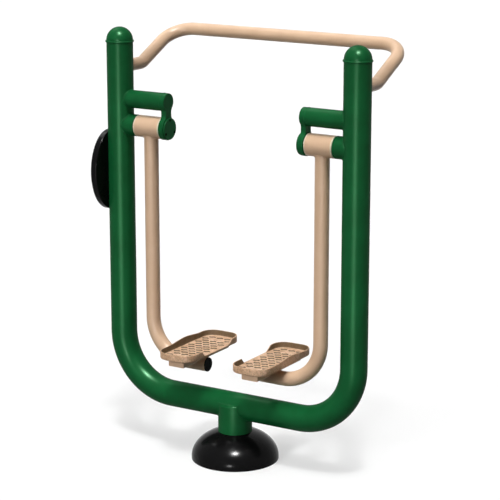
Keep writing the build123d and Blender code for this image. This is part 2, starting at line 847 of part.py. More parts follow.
# Pedal: a shallow cast tray whose outer wall arches up and whose inner wall drops to the floor
def make_pedal(name, side):
    inner_x = side * (pedal_x - pedal_w / 2)
    arch_y = (pedal_near_gap_y + pedal_near_slope, pedal_far_gap_y + pedal_far_slope)
    with BuildPart() as pedal:
        with BuildSketch(Plane.XY.offset(pedal_z)):
            with Locations((side * pedal_x, 0)):
                RectangleRounded(pedal_w, pedal_l, pedal_corner_r)
        extrude(amount=pedal_crest_z - pedal_z)
        fillet(pedal.faces().sort_by(Axis.Z)[0].edges(), pedal_floor_round)
        with BuildSketch(Plane.XY.offset(pedal_floor_z)):
            with Locations((side * pedal_x, 0)):
                RectangleRounded(
                    pedal_w - 2 * pedal_wall, pedal_l - 2 * pedal_wall, pedal_corner_r - pedal_wall
                )
        extrude(amount=pedal_crest_z - pedal_z, mode=Mode.SUBTRACT)
        with BuildSketch(Plane.YZ.offset(side * pedal_x)):
            with BuildLine():
                start = Line((-pedal_l, pedal_rim_z), (-arch_y[0], pedal_rim_z))
                arch = Spline(
                    start @ 1,
                    ((arch_y[1] - arch_y[0]) / 2, pedal_crest_z),
                    (arch_y[1], pedal_rim_z),
                    tangents=((1, 0), (1, 0)),
                )
                end = Line(arch @ 1, (pedal_l, pedal_rim_z))
                top = Line((pedal_l, pedal_crest_z + overrun), (-pedal_l, pedal_crest_z + overrun))
                Line(end @ 1, top @ 0)
                Line(top @ 1, start @ 0)
            make_face()
        extrude(amount=pedal_w, both=True, mode=Mode.SUBTRACT)
        rim = pedal.edges().filter_by_position(Axis.Z, pedal_rim_z - pedal_rim_round, pedal_crest_z)
        fillet(rim.filter_by(lambda edge: edge.length > 2 * pedal_wall), pedal_rim_round)
        with BuildSketch(Plane.YZ.offset(inner_x)):
            with BuildLine():
                near = Spline(
                    (-arch_y[0], pedal_rim_z + overrun),
                    (-pedal_near_gap_y, pedal_floor_z),
                    tangents=((1, -1), (1, 0)),
                )
                far = Spline(
                    (pedal_far_gap_y, pedal_floor_z),
                    (arch_y[1], pedal_rim_z),
                    tangents=((1, 0), (1, 0)),
                )
                Line(near @ 1, far @ 0)
                lid = Line((arch_y[1], pedal_crest_z + overrun), (-arch_y[0], pedal_crest_z + overrun))
                Line(far @ 1, lid @ 0)
                Line(lid @ 1, near @ 0)
            make_face()
        extrude(amount=pedal_wall + pedal_floor_round, both=True, mode=Mode.SUBTRACT)
        wave = Edge.make_three_point_arc((-tread_l / 2, 0), (0, tread_bow), (tread_l / 2, 0))
        with BuildSketch(Plane.XY.offset(pedal_floor_z).shift_origin((side * pedal_x, 0, pedal_floor_z))):
            with Locations(*tread_places()):
                SlotArc(wave, tread_w)
        extrude(amount=tread_h, taper=tread_taper_deg)
        with Locations(*((x, y, pedal_floor_z) for x, y in bolt_places(side))):
            CounterSinkHole(pedal_bolt_d / 2, pedal_bolt_head_d / 2, depth=pedal_floor_t + overrun)
    write_piece(pedal, f"{name}_pedal")


# Countersunk pedal bolts and the nuts under the bearer's top wall
def make_pedal_bolts(name, side):
    head_h = (pedal_bolt_head_d - pedal_bolt_d) / 2
    tip_z = pedal_z - bearer_wall - pedal_nut_h - pedal_bolt_tip
    with BuildPart() as bolts:
        with BuildSketch(Plane.XY.offset(tip_z)):
            with Locations(*bolt_places(side)):
                Circle(pedal_bolt_d / 2)
        extrude(amount=pedal_floor_z - head_h - tip_z)
        with Locations(*((x, y, pedal_floor_z - head_h / 2) for x, y in bolt_places(side))):
            Cone(pedal_bolt_d / 2, pedal_bolt_head_d / 2, head_h)
        with BuildSketch(Plane.XY.offset(pedal_floor_z)):
            with Locations(*bolt_places(side)):
                RegularPolygon(pedal_bolt_key_af / 2, 6, major_radius=False)
        extrude(amount=-pedal_bolt_key_depth, mode=Mode.SUBTRACT)
    write_piece(bolts, f"{name}_pedal_bolts")


def make_pedal_nuts(name, side):
    with BuildPart() as nuts:
        with BuildSketch(Plane.XY.offset(pedal_z - bearer_wall - pedal_nut_h)):
            with Locations(*bolt_places(side)):
                RegularPolygon(pedal_nut_af / 2, 6, major_radius=False)
                Circle(pedal_bolt_d / 2, mode=Mode.SUBTRACT)
        extrude(amount=pedal_nut_h)
    write_piece(nuts, f"{name}_pedal_nuts")


# Sign plate: a rounded oval, hollowed at the back where it sits on the post
def make_sign_plate():
    back_x = post_x + post_r - sign_sink
    face_x = back_x + sign_t
    seat_d = sign_screw_head_d + 2 * sign_seat_gap
    with BuildPart() as sign:
        with BuildSketch(across(-1, back_x, sign_z)):
            Ellipse(sign_w / 2, sign_h / 2)
        extrude(amount=sign_t)
        fillet(sign.edges().group_by(Axis.X)[0], sign_face_round)
        fillet(sign.edges().group_by(Axis.X)[-1], sign_back_round)
        with BuildSketch(Plane.XY.offset(sign_z - sign_h)):
            with Locations((-post_x, 0)):
                Circle(post_r)
        extrude(amount=2 * sign_h, mode=Mode.SUBTRACT)
        with BuildSketch(across(-1, face_x - sign_seat_depth, sign_z)):
            with GridLocations(sign_screw_pitch, sign_screw_pitch, 1, 2):
                Circle(seat_d / 2)
        extrude(amount=sign_seat_depth + overrun, mode=Mode.SUBTRACT)
        with BuildSketch(across(-1, back_x, sign_z)):
            with GridLocations(sign_screw_pitch, sign_screw_pitch, 1, 2):
                Circle(sign_screw_d / 2)
        extrude(amount=sign_t, mode=Mode.SUBTRACT)
    write_piece(sign, "sign_plate")


def make_sign_screws():
    seat_x = post_x + post_r - sign_sink + sign_t - sign_seat_depth
    tip_x = post_x + post_r - sign_screw_reach
    with BuildPart() as screws:
        with BuildSketch(across(-1, tip_x, sign_z)):
            with GridLocations(sign_screw_pitch, sign_screw_pitch, 1, 2):
                Circle(sign_screw_d / 2)
        extrude(amount=seat_x - tip_x)
        with BuildSketch(across(-1, seat_x, sign_z)):
            with GridLocations(sign_screw_pitch, sign_screw_pitch, 1, 2):
                Circle(sign_screw_head_d / 2)
        extrude(amount=sign_screw_head_h)
        fillet(screws.edges().group_by(Axis.X)[0], sign_screw_head_h / 2)
        with BuildSketch(across(-1, seat_x + sign_screw_head_h - hex_key_depth, sign_z)):
            with GridLocations(sign_screw_pitch, sign_screw_pitch, 1, 2):
                RegularPolygon(hex_key_af / 2, 6, major_radius=False)
        extrude(amount=hex_key_depth + overrun, mode=Mode.SUBTRACT)
    write_piece(screws, "sign_plate_screws")


# Threaded inserts set in the post's wall for the sign plate's screws
def make_inserts():
    outer_x = post_x + post_r - insert_setback
    bulge_x = post_x + post_r - frame_tube_wall - insert_bulge_gap - insert_bulge_l
    with BuildPart() as inserts:
        with BuildSketch(across(-1, outer_x - insert_l, sign_z)):
            with GridLocations(sign_screw_pitch, sign_screw_pitch, 1, 2):
                Circle(insert_d / 2)
        extrude(amount=insert_l)
        with BuildSketch(across(-1, bulge_x, sign_z)):
            with GridLocations(sign_screw_pitch, sign_screw_pitch, 1, 2):
                Circle(insert_bulge_d / 2)
        extrude(amount=insert_bulge_l)
        with BuildSketch(across(-1, outer_x - insert_l, sign_z)):
            with GridLocations(sign_screw_pitch, sign_screw_pitch, 1, 2):
                Circle(sign_screw_d / 2)
        extrude(amount=insert_l + overrun, mode=Mode.SUBTRACT)
    write_piece(inserts, "sign_plate_inserts")


make_flange()
make_gussets()
make_pedestal()
make_cover()
make_frame()
make_handlebar()
make_sign_plate()
make_sign_screws()
make_inserts()
for side_name, side_sign in sides:
    make_post_cap(side_name, side_sign)
    make_arm(side_name, side_sign)
    make_boss(side_name, side_sign)
    make_link_plate(side_name, side_sign)
    make_link_cap(side_name, side_sign)
    make_link_screws(side_name, side_sign)
    make_axle(side_name, side_sign)
    make_axle_nut(side_name, side_sign)
    make_collars(side_name, side_sign)
    make_spacer(side_name, side_sign)
    make_races(side_name, side_sign, "inner_races", axle_d / 2, inner_race_d / 2)
    make_races(side_name, side_sign, "outer_races", outer_race_bore_d / 2, bearing_d / 2)
    make_balls(side_name, side_sign)
    make_cages(side_name, side_sign)
    make_hub(side_name, side_sign)
    make_circlips(side_name, side_sign)
    make_seals(side_name, side_sign)
    make_stop_ring(side_name, side_sign)
    make_stop_pads(side_name, side_sign)
    make_leg_tube(side_name, side_sign)
    make_plug(side_name, side_sign)
    make_bearer(side_name, side_sign)
    make_pedal(side_name, side_sign)
    make_pedal_bolts(side_name, side_sign)
    make_pedal_nuts(side_name, side_sign)
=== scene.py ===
"""Outdoor air walker: the looks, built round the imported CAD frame.

Every sub-assembly is a class that holds its sizes. It builds the meshes that the CAD solids are too
plain for, dresses the solids that stay, and hands each finished piece to the bench.
Lengths are in metres, in the CAD's own frame: X across the machine, +Y the way the user faces, +Z up.
"""

from __future__ import annotations

import json
import logging
import math
from collections.abc import Iterable, Sequence
from dataclasses import dataclass, field
from enum import Enum
from typing import Any, ClassVar

import bmesh
import bpy
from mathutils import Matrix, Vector

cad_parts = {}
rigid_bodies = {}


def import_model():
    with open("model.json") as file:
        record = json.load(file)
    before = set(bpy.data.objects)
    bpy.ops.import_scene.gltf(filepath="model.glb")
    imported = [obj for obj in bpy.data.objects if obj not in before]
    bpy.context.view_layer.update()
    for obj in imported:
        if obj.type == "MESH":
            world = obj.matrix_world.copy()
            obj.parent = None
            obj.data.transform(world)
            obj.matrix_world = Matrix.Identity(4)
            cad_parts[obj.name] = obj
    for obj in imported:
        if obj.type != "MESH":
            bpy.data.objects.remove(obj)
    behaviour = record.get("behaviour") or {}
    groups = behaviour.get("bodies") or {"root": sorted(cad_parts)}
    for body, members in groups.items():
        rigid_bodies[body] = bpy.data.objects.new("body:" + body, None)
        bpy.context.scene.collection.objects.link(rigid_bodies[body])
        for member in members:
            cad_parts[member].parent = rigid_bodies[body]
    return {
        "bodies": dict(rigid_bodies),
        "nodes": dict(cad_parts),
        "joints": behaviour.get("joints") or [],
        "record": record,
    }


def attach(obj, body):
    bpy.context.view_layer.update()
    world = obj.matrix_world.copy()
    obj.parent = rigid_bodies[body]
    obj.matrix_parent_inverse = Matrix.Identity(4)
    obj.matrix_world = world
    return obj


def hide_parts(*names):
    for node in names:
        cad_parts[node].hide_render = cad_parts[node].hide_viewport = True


LOG = logging.getLogger("air_walker")
MM = 0.001
Place = tuple[float, float, float]
PAINTED_SHADE = "painted_shade"  # share of painted shade on a casting, kept on its points
BEND_RADIUS = "bend_radius"  # radius of the bend at a route's corner, kept on its points

# Sizes that more than one sub-assembly shares.
POST_X = 448.5 * MM  # distance of a post's axis from the middle
POST_R = 44.45 * MM  # radius of the frame tube, posts and rail alike
RAIL_Z = 184.0 * MM  # height of the rail's axis
PIVOT_Z = 1099.0 * MM  # height of the axles
HUB_X = 326.0 * MM  # distance of a hub's middle from the middle of the machine
PEDAL_X = 142.0 * MM  # distance of a pedal's middle from the middle of the machine

# Sockets that only their numbers tell apart.
MIX_SHARE, MIX_A, MIX_B, MIX_RESULT = 0, 6, 7, 2  # of a Mix node that mixes colours
RANDOM_LOW, RANDOM_HIGH, RANDOM_RESULT = 2, 3, 1  # of a Random Value node that draws a number


def linear(hex_colour: str) -> tuple[float, float, float, float]:
    """Turn an sRGB hex colour into linear light, by the sRGB standard's own numbers.

    Args:
        hex_colour: six hex digits, such as "14612F".

    Returns:
        Red, green, blue and an alpha of one.
    """
    shares = [int(hex_colour[i : i + 2], 16) / 255 for i in (0, 2, 4)]
    light = [s / 12.92 if s <= 0.04045 else ((s + 0.055) / 1.055) ** 2.4 for s in shares]
    return (*light, 1.0)


def add_node(
    tree: bpy.types.NodeTree,
    kind: str,
    settings: dict[str | int, Any] | None = None,
    links: dict[str | int, bpy.types.NodeSocket] | None = None,
) -> bpy.types.Node:
    """Add a node with its settings and links.

    Args:
        tree: the tree that the node joins.
        kind: the node's type name.
        settings: values by input name or number, or by the name of a property of the node.
        links: output sockets of earlier nodes, by input name or number.

    Returns:
        The new node.
    """
    node = tree.nodes.new(kind)
    for name, value in (settings or {}).items():
        if isinstance(name, str) and name not in node.inputs:
            setattr(node, name, value)
    for name, value in (settings or {}).items():
        if isinstance(name, int) or name in node.inputs:
            node.inputs[name].default_value = value
    for name, socket in (links or {}).items():
        tree.links.new(socket, node.inputs[name])
    return node


class Side(Enum):
    """The two sides of the machine, by name and by the sign of X."""

    LEFT = ("left", -1)
    RIGHT = ("right", 1)

    @property
    def label(self) -> str:
        """The side's name, as the nodes and bodies use it."""
        return self.value[0]

    @property
    def sign(self) -> int:
        """The sign of X on this side."""
        return self.value[1]


class Grain(Enum):
    """What the fine relief of a surface looks like."""

    ORANGE_PEEL = "orange peel of a sprayed and baked powder"
    CAST_SKIN = "sand-cast skin under its coat"
    MOULD_SKIN = "even skin that a mould, a press or a plating bath leaves"
    SPANGLE = "crystals of hot-dipped zinc"
    LATHE = "turned or ground rings"


# How many finer layers a noise has, and how strong they are.
PATCH_NOISE = {"Detail": 4.0, "Roughness": 0.55}
GRAIN_NOISE = {
    Grain.ORANGE_PEEL: {"Detail": 1.0, "Roughness": 0.4},
    Grain.CAST_SKIN: {"Detail": 6.0, "Roughness": 0.7},
    Grain.MOULD_SKIN: {"Detail": 2.0, "Roughness": 0.5},
}
# Where in the patches' noise the colour and the gloss change over.
COLOUR_DRIFT = {"From Min": 0.35, "From Max": 0.65}
GLOSS_DRIFT = {"From Min": 0.3, "From Max": 0.7}
# How dark the pits of a casting are painted, as painted shade, and the dullest crystals of a zinc coat.
PAINTED_PIT_SHADE = {"From Min": 0.36, "From Max": 0.56, "To Min": 0.62}
CRYSTAL_SHADE = {"To Min": 0.82}
# Rings that a lathe or a grinder leaves round the X axis, a little uneven.
TOOL_RINGS = {"wave_type": "BANDS", "bands_direction": "X", "Distortion": 1.5, "Detail": 2.0}


@dataclass(frozen=True)
class Finish:
    """A surface finish: its colours, its gloss and its relief, all with real sizes.

    Attributes:
        name: the material's common name and how its surface was made.
        slot: the record's material slot.
        colour: main colour, sRGB hex.
        drift_colour: colour that it drifts to in patches, sRGB hex.
        drift_mm: size of those patches.
        roughness: lowest and highest roughness over the same patches.
        grain: kind of relief.
        grain_mm: spacing of the relief.
        grain_depth_mm: height of the relief.
        metallic: 1 for bare metal, less for a coat with some metal in it.
        specular: the shader's specular level.
        painted_shade: colour of the painted shade in a casting's corners and at the feet of its treads, sRGB
            hex.
        coat: weight of the thin clear skin on top.
        coat_roughness: roughness of that skin.
    """

    name: str
    slot: str
    colour: str
    drift_colour: str
    drift_mm: float
    roughness: tuple[float, float]
    grain: Grain
    grain_mm: float
    grain_depth_mm: float
    metallic: float = 0.0
    specular: float = 0.5
    painted_shade: str = "50432B"
    coat: float = 0.0
    coat_roughness: float = 0.3

    def material(self) -> bpy.types.Material:
        """Build the material, or return the one already built.

        Returns:
            The Blender material of this finish.
        """
        made = bpy.data.materials.get(self.name)
        if made:
            return made
        made = bpy.data.materials.new(self.name)
        made.use_nodes = True
        tree = made.node_tree
        tree.nodes.clear()
        place = add_node(tree, "ShaderNodeTexCoord").outputs["Object"]
        patches = add_node(
            tree, "ShaderNodeTexNoise", {"Scale": 1 / (self.drift_mm * MM), **PATCH_NOISE}, {"Vector": place}
        ).outputs["Fac"]
        share = add_node(tree, "ShaderNodeMapRange", COLOUR_DRIFT, {"Value": patches}).outputs["Result"]
        tint = add_node(
            tree, "ShaderNodeMix",
            {"data_type": "RGBA", MIX_A: linear(self.colour), MIX_B: linear(self.drift_colour)},
            {MIX_SHARE: share},
        ).outputs[MIX_RESULT]
        low, high = self.roughness
        gloss = add_node(
            tree, "ShaderNodeMapRange", {**GLOSS_DRIFT, "To Min": low, "To Max": high}, {"Value": patches}
        ).outputs["Result"]
        relief, tint = self.relief(tree, place, tint)
        bump = add_node(
            tree, "ShaderNodeBump",
            {"Strength": 1.0, "Distance": self.grain_depth_mm * MM},
            {"Height": relief},
        )
        shader = add_node(
            tree, "ShaderNodeBsdfPrincipled",
            {
                "Metallic": self.metallic, "Specular IOR Level": self.specular,
                "Coat Weight": self.coat, "Coat Roughness": self.coat_roughness,
            },
            {"Base Color": tint, "Roughness": gloss, "Normal": bump.outputs["Normal"]},
        )
        add_node(tree, "ShaderNodeOutputMaterial", {}, {"Surface": shader.outputs["BSDF"]})
        return made

    def relief(
        self, tree: bpy.types.NodeTree, place: bpy.types.NodeSocket, tint: bpy.types.NodeSocket
    ) -> tuple[bpy.types.NodeSocket, bpy.types.NodeSocket]:
        """Add the relief of this finish, and what it does to the colour.

        Args:
            tree: the material's tree.
            place: the Object coordinates.
            tint: the colour so far.

        Returns:
            The relief's height and the colour, which some reliefs change.
        """
        scale = 1 / (self.grain_mm * MM)
        shade = None
        if self.grain is Grain.LATHE:
            height = add_node(
                tree, "ShaderNodeTexWave", {"Scale": scale / (2 * math.pi), **TOOL_RINGS}, {"Vector": place}
            ).outputs["Fac"]
        elif self.grain is Grain.SPANGLE:
            cells = add_node(
                tree, "ShaderNodeTexVoronoi", {"Scale": scale, "Randomness": 1.0}, {"Vector": place}
            ).outputs
            height = cells["Distance"]
            value = add_node(tree, "ShaderNodeSeparateColor", {}, {"Color": cells["Color"]}).outputs["Red"]
            shade = add_node(tree, "ShaderNodeMapRange", CRYSTAL_SHADE, {"Value": value})
        else:
            height = add_node(
                tree, "ShaderNodeTexNoise", {"Scale": scale, **GRAIN_NOISE[self.grain]}, {"Vector": place}
            ).outputs["Fac"]
        # The pits of a sand-cast skin are painted darker: painted shade.
        if self.grain is Grain.CAST_SKIN:
            shade = add_node(tree, "ShaderNodeMapRange", PAINTED_PIT_SHADE, {"Value": height})
        if shade is not None:
            tint = add_node(
                tree, "ShaderNodeMix", {"data_type": "RGBA", "blend_type": "MULTIPLY", MIX_SHARE: 1.0},
                {MIX_A: tint, MIX_B: shade.outputs["Result"]},
            ).outputs[MIX_RESULT]
        # Painted shade, darker where the points carry it: the inner side of a tray's wall, the feet of the
        # treads and the thin film round each tread.
        if self.grain is Grain.CAST_SKIN:
            painted_shade_share = add_node(tree, "ShaderNodeAttribute", {"attribute_name": PAINTED_SHADE}).outputs["Fac"]
            tint = add_node(
                tree, "ShaderNodeMix", {"data_type": "RGBA", MIX_B: linear(self.painted_shade)},
                {MIX_SHARE: painted_shade_share, MIX_A: tint},
            ).outputs[MIX_RESULT]
        return height, tint


@dataclass(frozen=True)
class EndedFinish(Finish):
    """A coat on a hub that is drawn paler and yellower over a band at each of its two ends.

    Attributes:
        pale: colour at the ends, sRGB hex.
        middle: distance of the hub's middle from the middle of the machine, in metres.
        half_mm: half of the hub's length.
        pale_mm: how far the pale colour reaches in from an end.
    """

    pale: str = "E6DDC4"
    middle: float = HUB_X
    half_mm: float = 50.0
    pale_mm: float = 5.0

    def relief(
        self, tree: bpy.types.NodeTree, place: bpy.types.NodeSocket, tint: bpy.types.NodeSocket
    ) -> tuple[bpy.types.NodeSocket, bpy.types.NodeSocket]:
        """Add the coat's relief and the pale ends.

        Args:
            tree: the material's tree.
            place: the Object coordinates.
            tint: the colour so far.

        Returns:
            The relief's height and the colour with its pale ends.
        """
        height, tint = super().relief(tree, place, tint)
        across = add_node(tree, "ShaderNodeSeparateXYZ", {}, {"Vector": place}).outputs["X"]
        out = add_node(tree, "ShaderNodeMath", {"operation": "ABSOLUTE"}, {0: across}).outputs["Value"]
        along = add_node(
            tree, "ShaderNodeMath", {"operation": "SUBTRACT", 1: self.middle}, {0: out}
        ).outputs["Value"]
        off = add_node(tree, "ShaderNodeMath", {"operation": "ABSOLUTE"}, {0: along}).outputs["Value"]
        start = (self.half_mm - self.pale_mm) * MM
        share = add_node(
            tree, "ShaderNodeMapRange",
            {"From Min": start, "From Max": start + self.pale_mm * MM / 2}, {"Value": off},
        ).outputs["Result"]
        mixed = add_node(
            tree, "ShaderNodeMix", {"data_type": "RGBA", MIX_B: linear(self.pale)},
            {MIX_SHARE: share, MIX_A: tint},
        )
        return height, mixed.outputs[MIX_RESULT]


# Polyester powder sprayed on blasted steel and baked: a semi-gloss green with a little metal in it, a
# thin clear skin and a faint orange peel, which gives green highlights and dark edges.
# Real peel is 1 to 2 mm across, which is too fine to show from 6 m, so it is drawn 4 mm across.
GREEN_COAT = Finish(
    "green_polyester_powder_coat", "green_powder_coat", "135D31", "11552C", 90.0, (0.3, 0.36),
    Grain.ORANGE_PEEL, 4.0, 0.015, metallic=0.07, specular=0.0, coat=0.1,
)
# The same coat on the cap screws, painted nearly black: painted shade for their shadowed sockets.
SOCKET_PAINTED_SHADE_COAT = Finish(
    "green_powder_coat_painted_dark_for_socket_shade", "green_powder_coat", "0A2413", "081C0F", 20.0, (0.6, 0.75),
    Grain.ORANGE_PEEL, 4.0, 0.015, specular=0.0,
)
# The same kind of powder in plain beige on the bar and the legs: warm, with a soft sheen.
BEIGE_COAT = Finish(
    "beige_polyester_powder_coat", "beige_powder_coat", "DFBD9E", "DAB797", 70.0, (0.3, 0.36),
    Grain.ORANGE_PEEL, 4.0, 0.015, specular=0.15,
)
# The hubs' coat, drawn paler and yellower over a band at each end.
HUB_COAT = EndedFinish(
    "beige_powder_coat_on_turned_hub", "beige_powder_coat", "DFBD9E", "DAB797", 70.0, (0.3, 0.36),
    Grain.ORANGE_PEEL, 4.0, 0.015, specular=0.15,
)
# Sand-cast aluminium under beige powder: the coat follows the grainy skin, whose pits are drawn darker as
# painted shade.
CAST_COAT = Finish(
    "beige_coated_cast_aluminium", "beige_cast_aluminium", "E8C2A0", "CBA27F", 22.0, (0.45, 0.6),
    Grain.CAST_SKIN, 5.0, 0.5, specular=0.15,
)
# Black moulding from a polished mould: deep gloss with a slight waviness of the wall.
GLOSS_MOULDING = Finish(
    "black_gloss_moulded_abs", "black_gloss_moulding", "0D0D0D", "101011", 120.0, (0.17, 0.2),
    Grain.MOULD_SKIN, 60.0, 0.008, specular=0.05,
)
# Black polyethylene plug, straight from a spark-eroded mould: a dull fine texture.
PLUG_PLASTIC = Finish(
    "black_moulded_polyethylene", "black_plastic", "080808", "0B0B0B", 20.0, (0.4, 0.5),
    Grain.MOULD_SKIN, 1.5, 0.04, specular=0.01,
)
# Nitrile rubber, pressed in a mould: dull, slightly bloomed.
SEAL_RUBBER = Finish(
    "black_moulded_nitrile_rubber", "black_rubber", "1C1C1C", "272727", 15.0, (0.6, 0.8),
    Grain.MOULD_SKIN, 1.2, 0.05,
)
# Steel dipped in molten zinc: grey crystals a finger wide, dull where the air has reached them.
DIPPED_ZINC = Finish(
    "hot_dipped_zinc_on_steel", "hot_dip_zinc", "A6A9AA", "8E9293", 60.0, (0.4, 0.58),
    Grain.SPANGLE, 14.0, 0.05, metallic=1.0,
)
# Austenitic stainless screws, cold headed: bright with a soft sheen.
STAINLESS = Finish(
    "cold_headed_stainless_steel", "stainless_steel", "C9C7C2", "B8B6B1", 6.0, (0.22, 0.36),
    Grain.LATHE, 0.6, 0.01, metallic=1.0,
)
# Zinc-plated steel nuts and clips: a bluish bright skin, uneven from the barrel.
PLATED_ZINC = Finish(
    "barrel_zinc_plated_steel", "zinc_plated_steel", "BFC3C6", "A5AAAE", 8.0, (0.28, 0.42),
    Grain.MOULD_SKIN, 1.0, 0.02, metallic=1.0,
)
# Axle, races, collars and balls, turned and ground: bright steel with fine rings.
GROUND_STEEL = Finish(
    "turned_and_ground_steel", "ground_steel", "BDBDBC", "ABABAA", 25.0, (0.16, 0.28),
    Grain.LATHE, 0.5, 0.01, metallic=1.0,
)
# Bearing cages pressed from strip: dull, slightly warm steel.
PRESSED_STEEL = Finish(
    "pressed_strip_steel", "pressed_steel", "ADA9A1", "9C988F", 10.0, (0.34, 0.48),
    Grain.MOULD_SKIN, 0.8, 0.02, metallic=1.0,
)


@dataclass
class Bench:
    """Attributes:
    """

    frame: dict[str, Any]

    def dress(self, finish: Finish, *nodes: str) -> None:
        """Give CAD nodes a finish, in their own material slots.

        Args:
            finish: the finish.
            nodes: names of the CAD nodes.
        """
        for name in nodes:
            node = self.frame["nodes"][name]
            if not node.material_slots:
                node.data.materials.append(None)
            for slot in node.material_slots:
                slot.material = finish.material()
            LOG.info("dressed %s in %s", name, finish.name)

    def keep(self, piece: bpy.types.Object, body: str, finish: Finish, *stood_for: str) -> None:
        """Attach a finished piece to its body and hide the CAD nodes that it stands for.

        Args:
            piece: the finished object, at the origin.
            body: the CAD body that it rides on.
            finish: not used.
            stood_for: CAD nodes that it stands for.
        """
        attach(piece, body)
        if stood_for:
            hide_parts(*stood_for)
        LOG.info("built %s on %s with %d faces", piece.name, body, len(piece.data.polygons))


def new_object(name: str, mesh: bpy.types.Mesh) -> bpy.types.Object:
    """Link a new object for a mesh, at the origin.

    Args:
        name: the piece's name.
        mesh: its mesh, in place.

    Returns:
        The linked object.
    """
    piece = bpy.data.objects.new(name, mesh)
    bpy.context.scene.collection.objects.link(piece)
    return piece


def polyline(points: Iterable[Place], bends: Sequence[float] = (), closed: bool = False) -> bpy.types.Object:
    """Make a line of edges for a Geometry Nodes tree to follow.

    Args:
        points: the corners of the line.
        bends: the bend radius at each inner corner.
        closed: whether the line runs back to its first point.

    Returns:
        A linked object that holds only the line.
    """
    corners = list(points)
    edges = [(i, i + 1) for i in range(len(corners) - 1)]
    if closed:
        edges.append((len(corners) - 1, 0))
    mesh = bpy.data.meshes.new("route")
    mesh.from_pydata(corners, edges, [])
    radii = mesh.attributes.new(BEND_RADIUS, "FLOAT", "POINT")
    for index, radius in enumerate(bends, start=1):
        radii.data[index].value = radius
    return new_object("route", mesh)


class Tree:
    """A Geometry Nodes tree with named inputs, which is built once and grown on many routes.

    Attributes:
        name: the tree's name.
        inputs: socket types of its inputs, by name.
        merge_distance: how near two points are that become one.
        group: the node tree.
        start: its input node.
    """

    name: ClassVar[str]
    inputs: ClassVar[dict[str, str]]
    merge_distance: ClassVar[float] = 1e-3 * MM

    def __init__(self) -> None:
        """Make the tree, its inputs and its output."""
        self.group = bpy.data.node_groups.new(self.name, "GeometryNodeTree")
        sockets = self.group.interface
        sockets.new_socket("Geometry", in_out="INPUT", socket_type="NodeSocketGeometry")
        for name, kind in {**self.inputs, "Material": "Material"}.items():
            sockets.new_socket(name, in_out="INPUT", socket_type=f"NodeSocket{kind}")
        sockets.new_socket("Geometry", in_out="OUTPUT", socket_type="NodeSocketGeometry")
        self.start = self.node("NodeGroupInput")
        self.end(self.build())

    def node(
        self,
        kind: str,
        settings: dict[str | int, Any] | None = None,
        links: dict[str | int, bpy.types.NodeSocket] | None = None,
    ) -> bpy.types.Node:
        """Add a node to this tree, as add_node does."""
        return add_node(self.group, kind, settings, links)

    def build(self) -> bpy.types.NodeSocket:
        """Build what lies between the inputs and the end.

        Returns:
            The geometry that the tree makes.
        """
        raise NotImplementedError

    def end(self, shape: bpy.types.NodeSocket) -> None:
        """Realize, smooth and finish the geometry, and send it out.

        Args:
            shape: the geometry that the tree makes.
        """
        solid = self.node("GeometryNodeRealizeInstances", {}, {"Geometry": shape})
        smooth = self.node("GeometryNodeSetShadeSmooth", {}, {"Geometry": solid.outputs["Geometry"]})
        dressed = self.node(
            "GeometryNodeSetMaterial", {},
            {"Geometry": smooth.outputs["Geometry"], "Material": self.start.outputs["Material"]},
        )
        self.node("NodeGroupOutput", {}, {"Geometry": dressed.outputs["Geometry"]})

    def grow(
        self, name: str, route: bpy.types.Object, finish: Finish, sizes: dict[str, float]
    ) -> bpy.types.Object:
        """Run the tree on a route and keep what it makes as a plain mesh.

        Args:
            name: the piece's name.
            route: the object that the tree starts from, which is removed.
            finish: the finish of the piece.
            sizes: values of the tree's inputs.

        Returns:
            The new object.
        """
        step = route.modifiers.new(self.name, "NODES")
        step.node_group = self.group
        sockets = {
            item.name: item.identifier
            for item in self.group.interface.items_tree
            if item.in_out == "INPUT"
        }
        for size, value in sizes.items():
            step[sockets[size]] = value
        step[sockets["Material"]] = finish.material()
        graph = bpy.context.evaluated_depsgraph_get()
        mesh = bpy.data.meshes.new_from_object(route.evaluated_get(graph), depsgraph=graph)
        mesh.name = name
        route.modifiers.remove(step)
        bpy.data.objects.remove(route)
        made = bmesh.new()
        made.from_mesh(mesh)
        bmesh.ops.remove_doubles(made, verts=made.verts, dist=self.merge_distance)
        bmesh.ops.recalc_face_normals(made, faces=made.faces)
        made.to_mesh(mesh)
        made.free()
        return new_object(name, mesh)


class BentTube(Tree):
    """A round tube along a line, with a bend of its own radius at each corner."""

    name = "bent_tube"
    inputs = {"Tube diameter": "Float", "Bend steps": "Int", "Sides": "Int"}

    def build(self) -> bpy.types.NodeSocket:
        """Round the corners and sweep a circle along the line.

        Returns:
            The tube's mesh.
        """
        sizes = self.start.outputs
        line = self.node("GeometryNodeMeshToCurve", {}, {"Mesh": sizes["Geometry"]})
        radius = self.node("GeometryNodeInputNamedAttribute", {"data_type": "FLOAT", "Name": BEND_RADIUS})
        bent = self.node(
            "GeometryNodeFilletCurve", {"mode": "POLY"},
            {
                "Curve": line.outputs["Curve"], "Radius": radius.outputs["Attribute"],
                "Count": sizes["Bend steps"],
            },
        )
        half = self.node("ShaderNodeMath", {"operation": "DIVIDE", 1: 2.0}, {0: sizes["Tube diameter"]})
        ring = self.node(
            "GeometryNodeCurvePrimitiveCircle", {},
            {"Resolution": sizes["Sides"], "Radius": half.outputs["Value"]},
        )
        tube = self.node(
            "GeometryNodeCurveToMesh", {"Fill Caps": True},
            {"Curve": bent.outputs["Curve"], "Profile Curve": ring.outputs["Curve"]},
        )
        return tube.outputs["Mesh"]


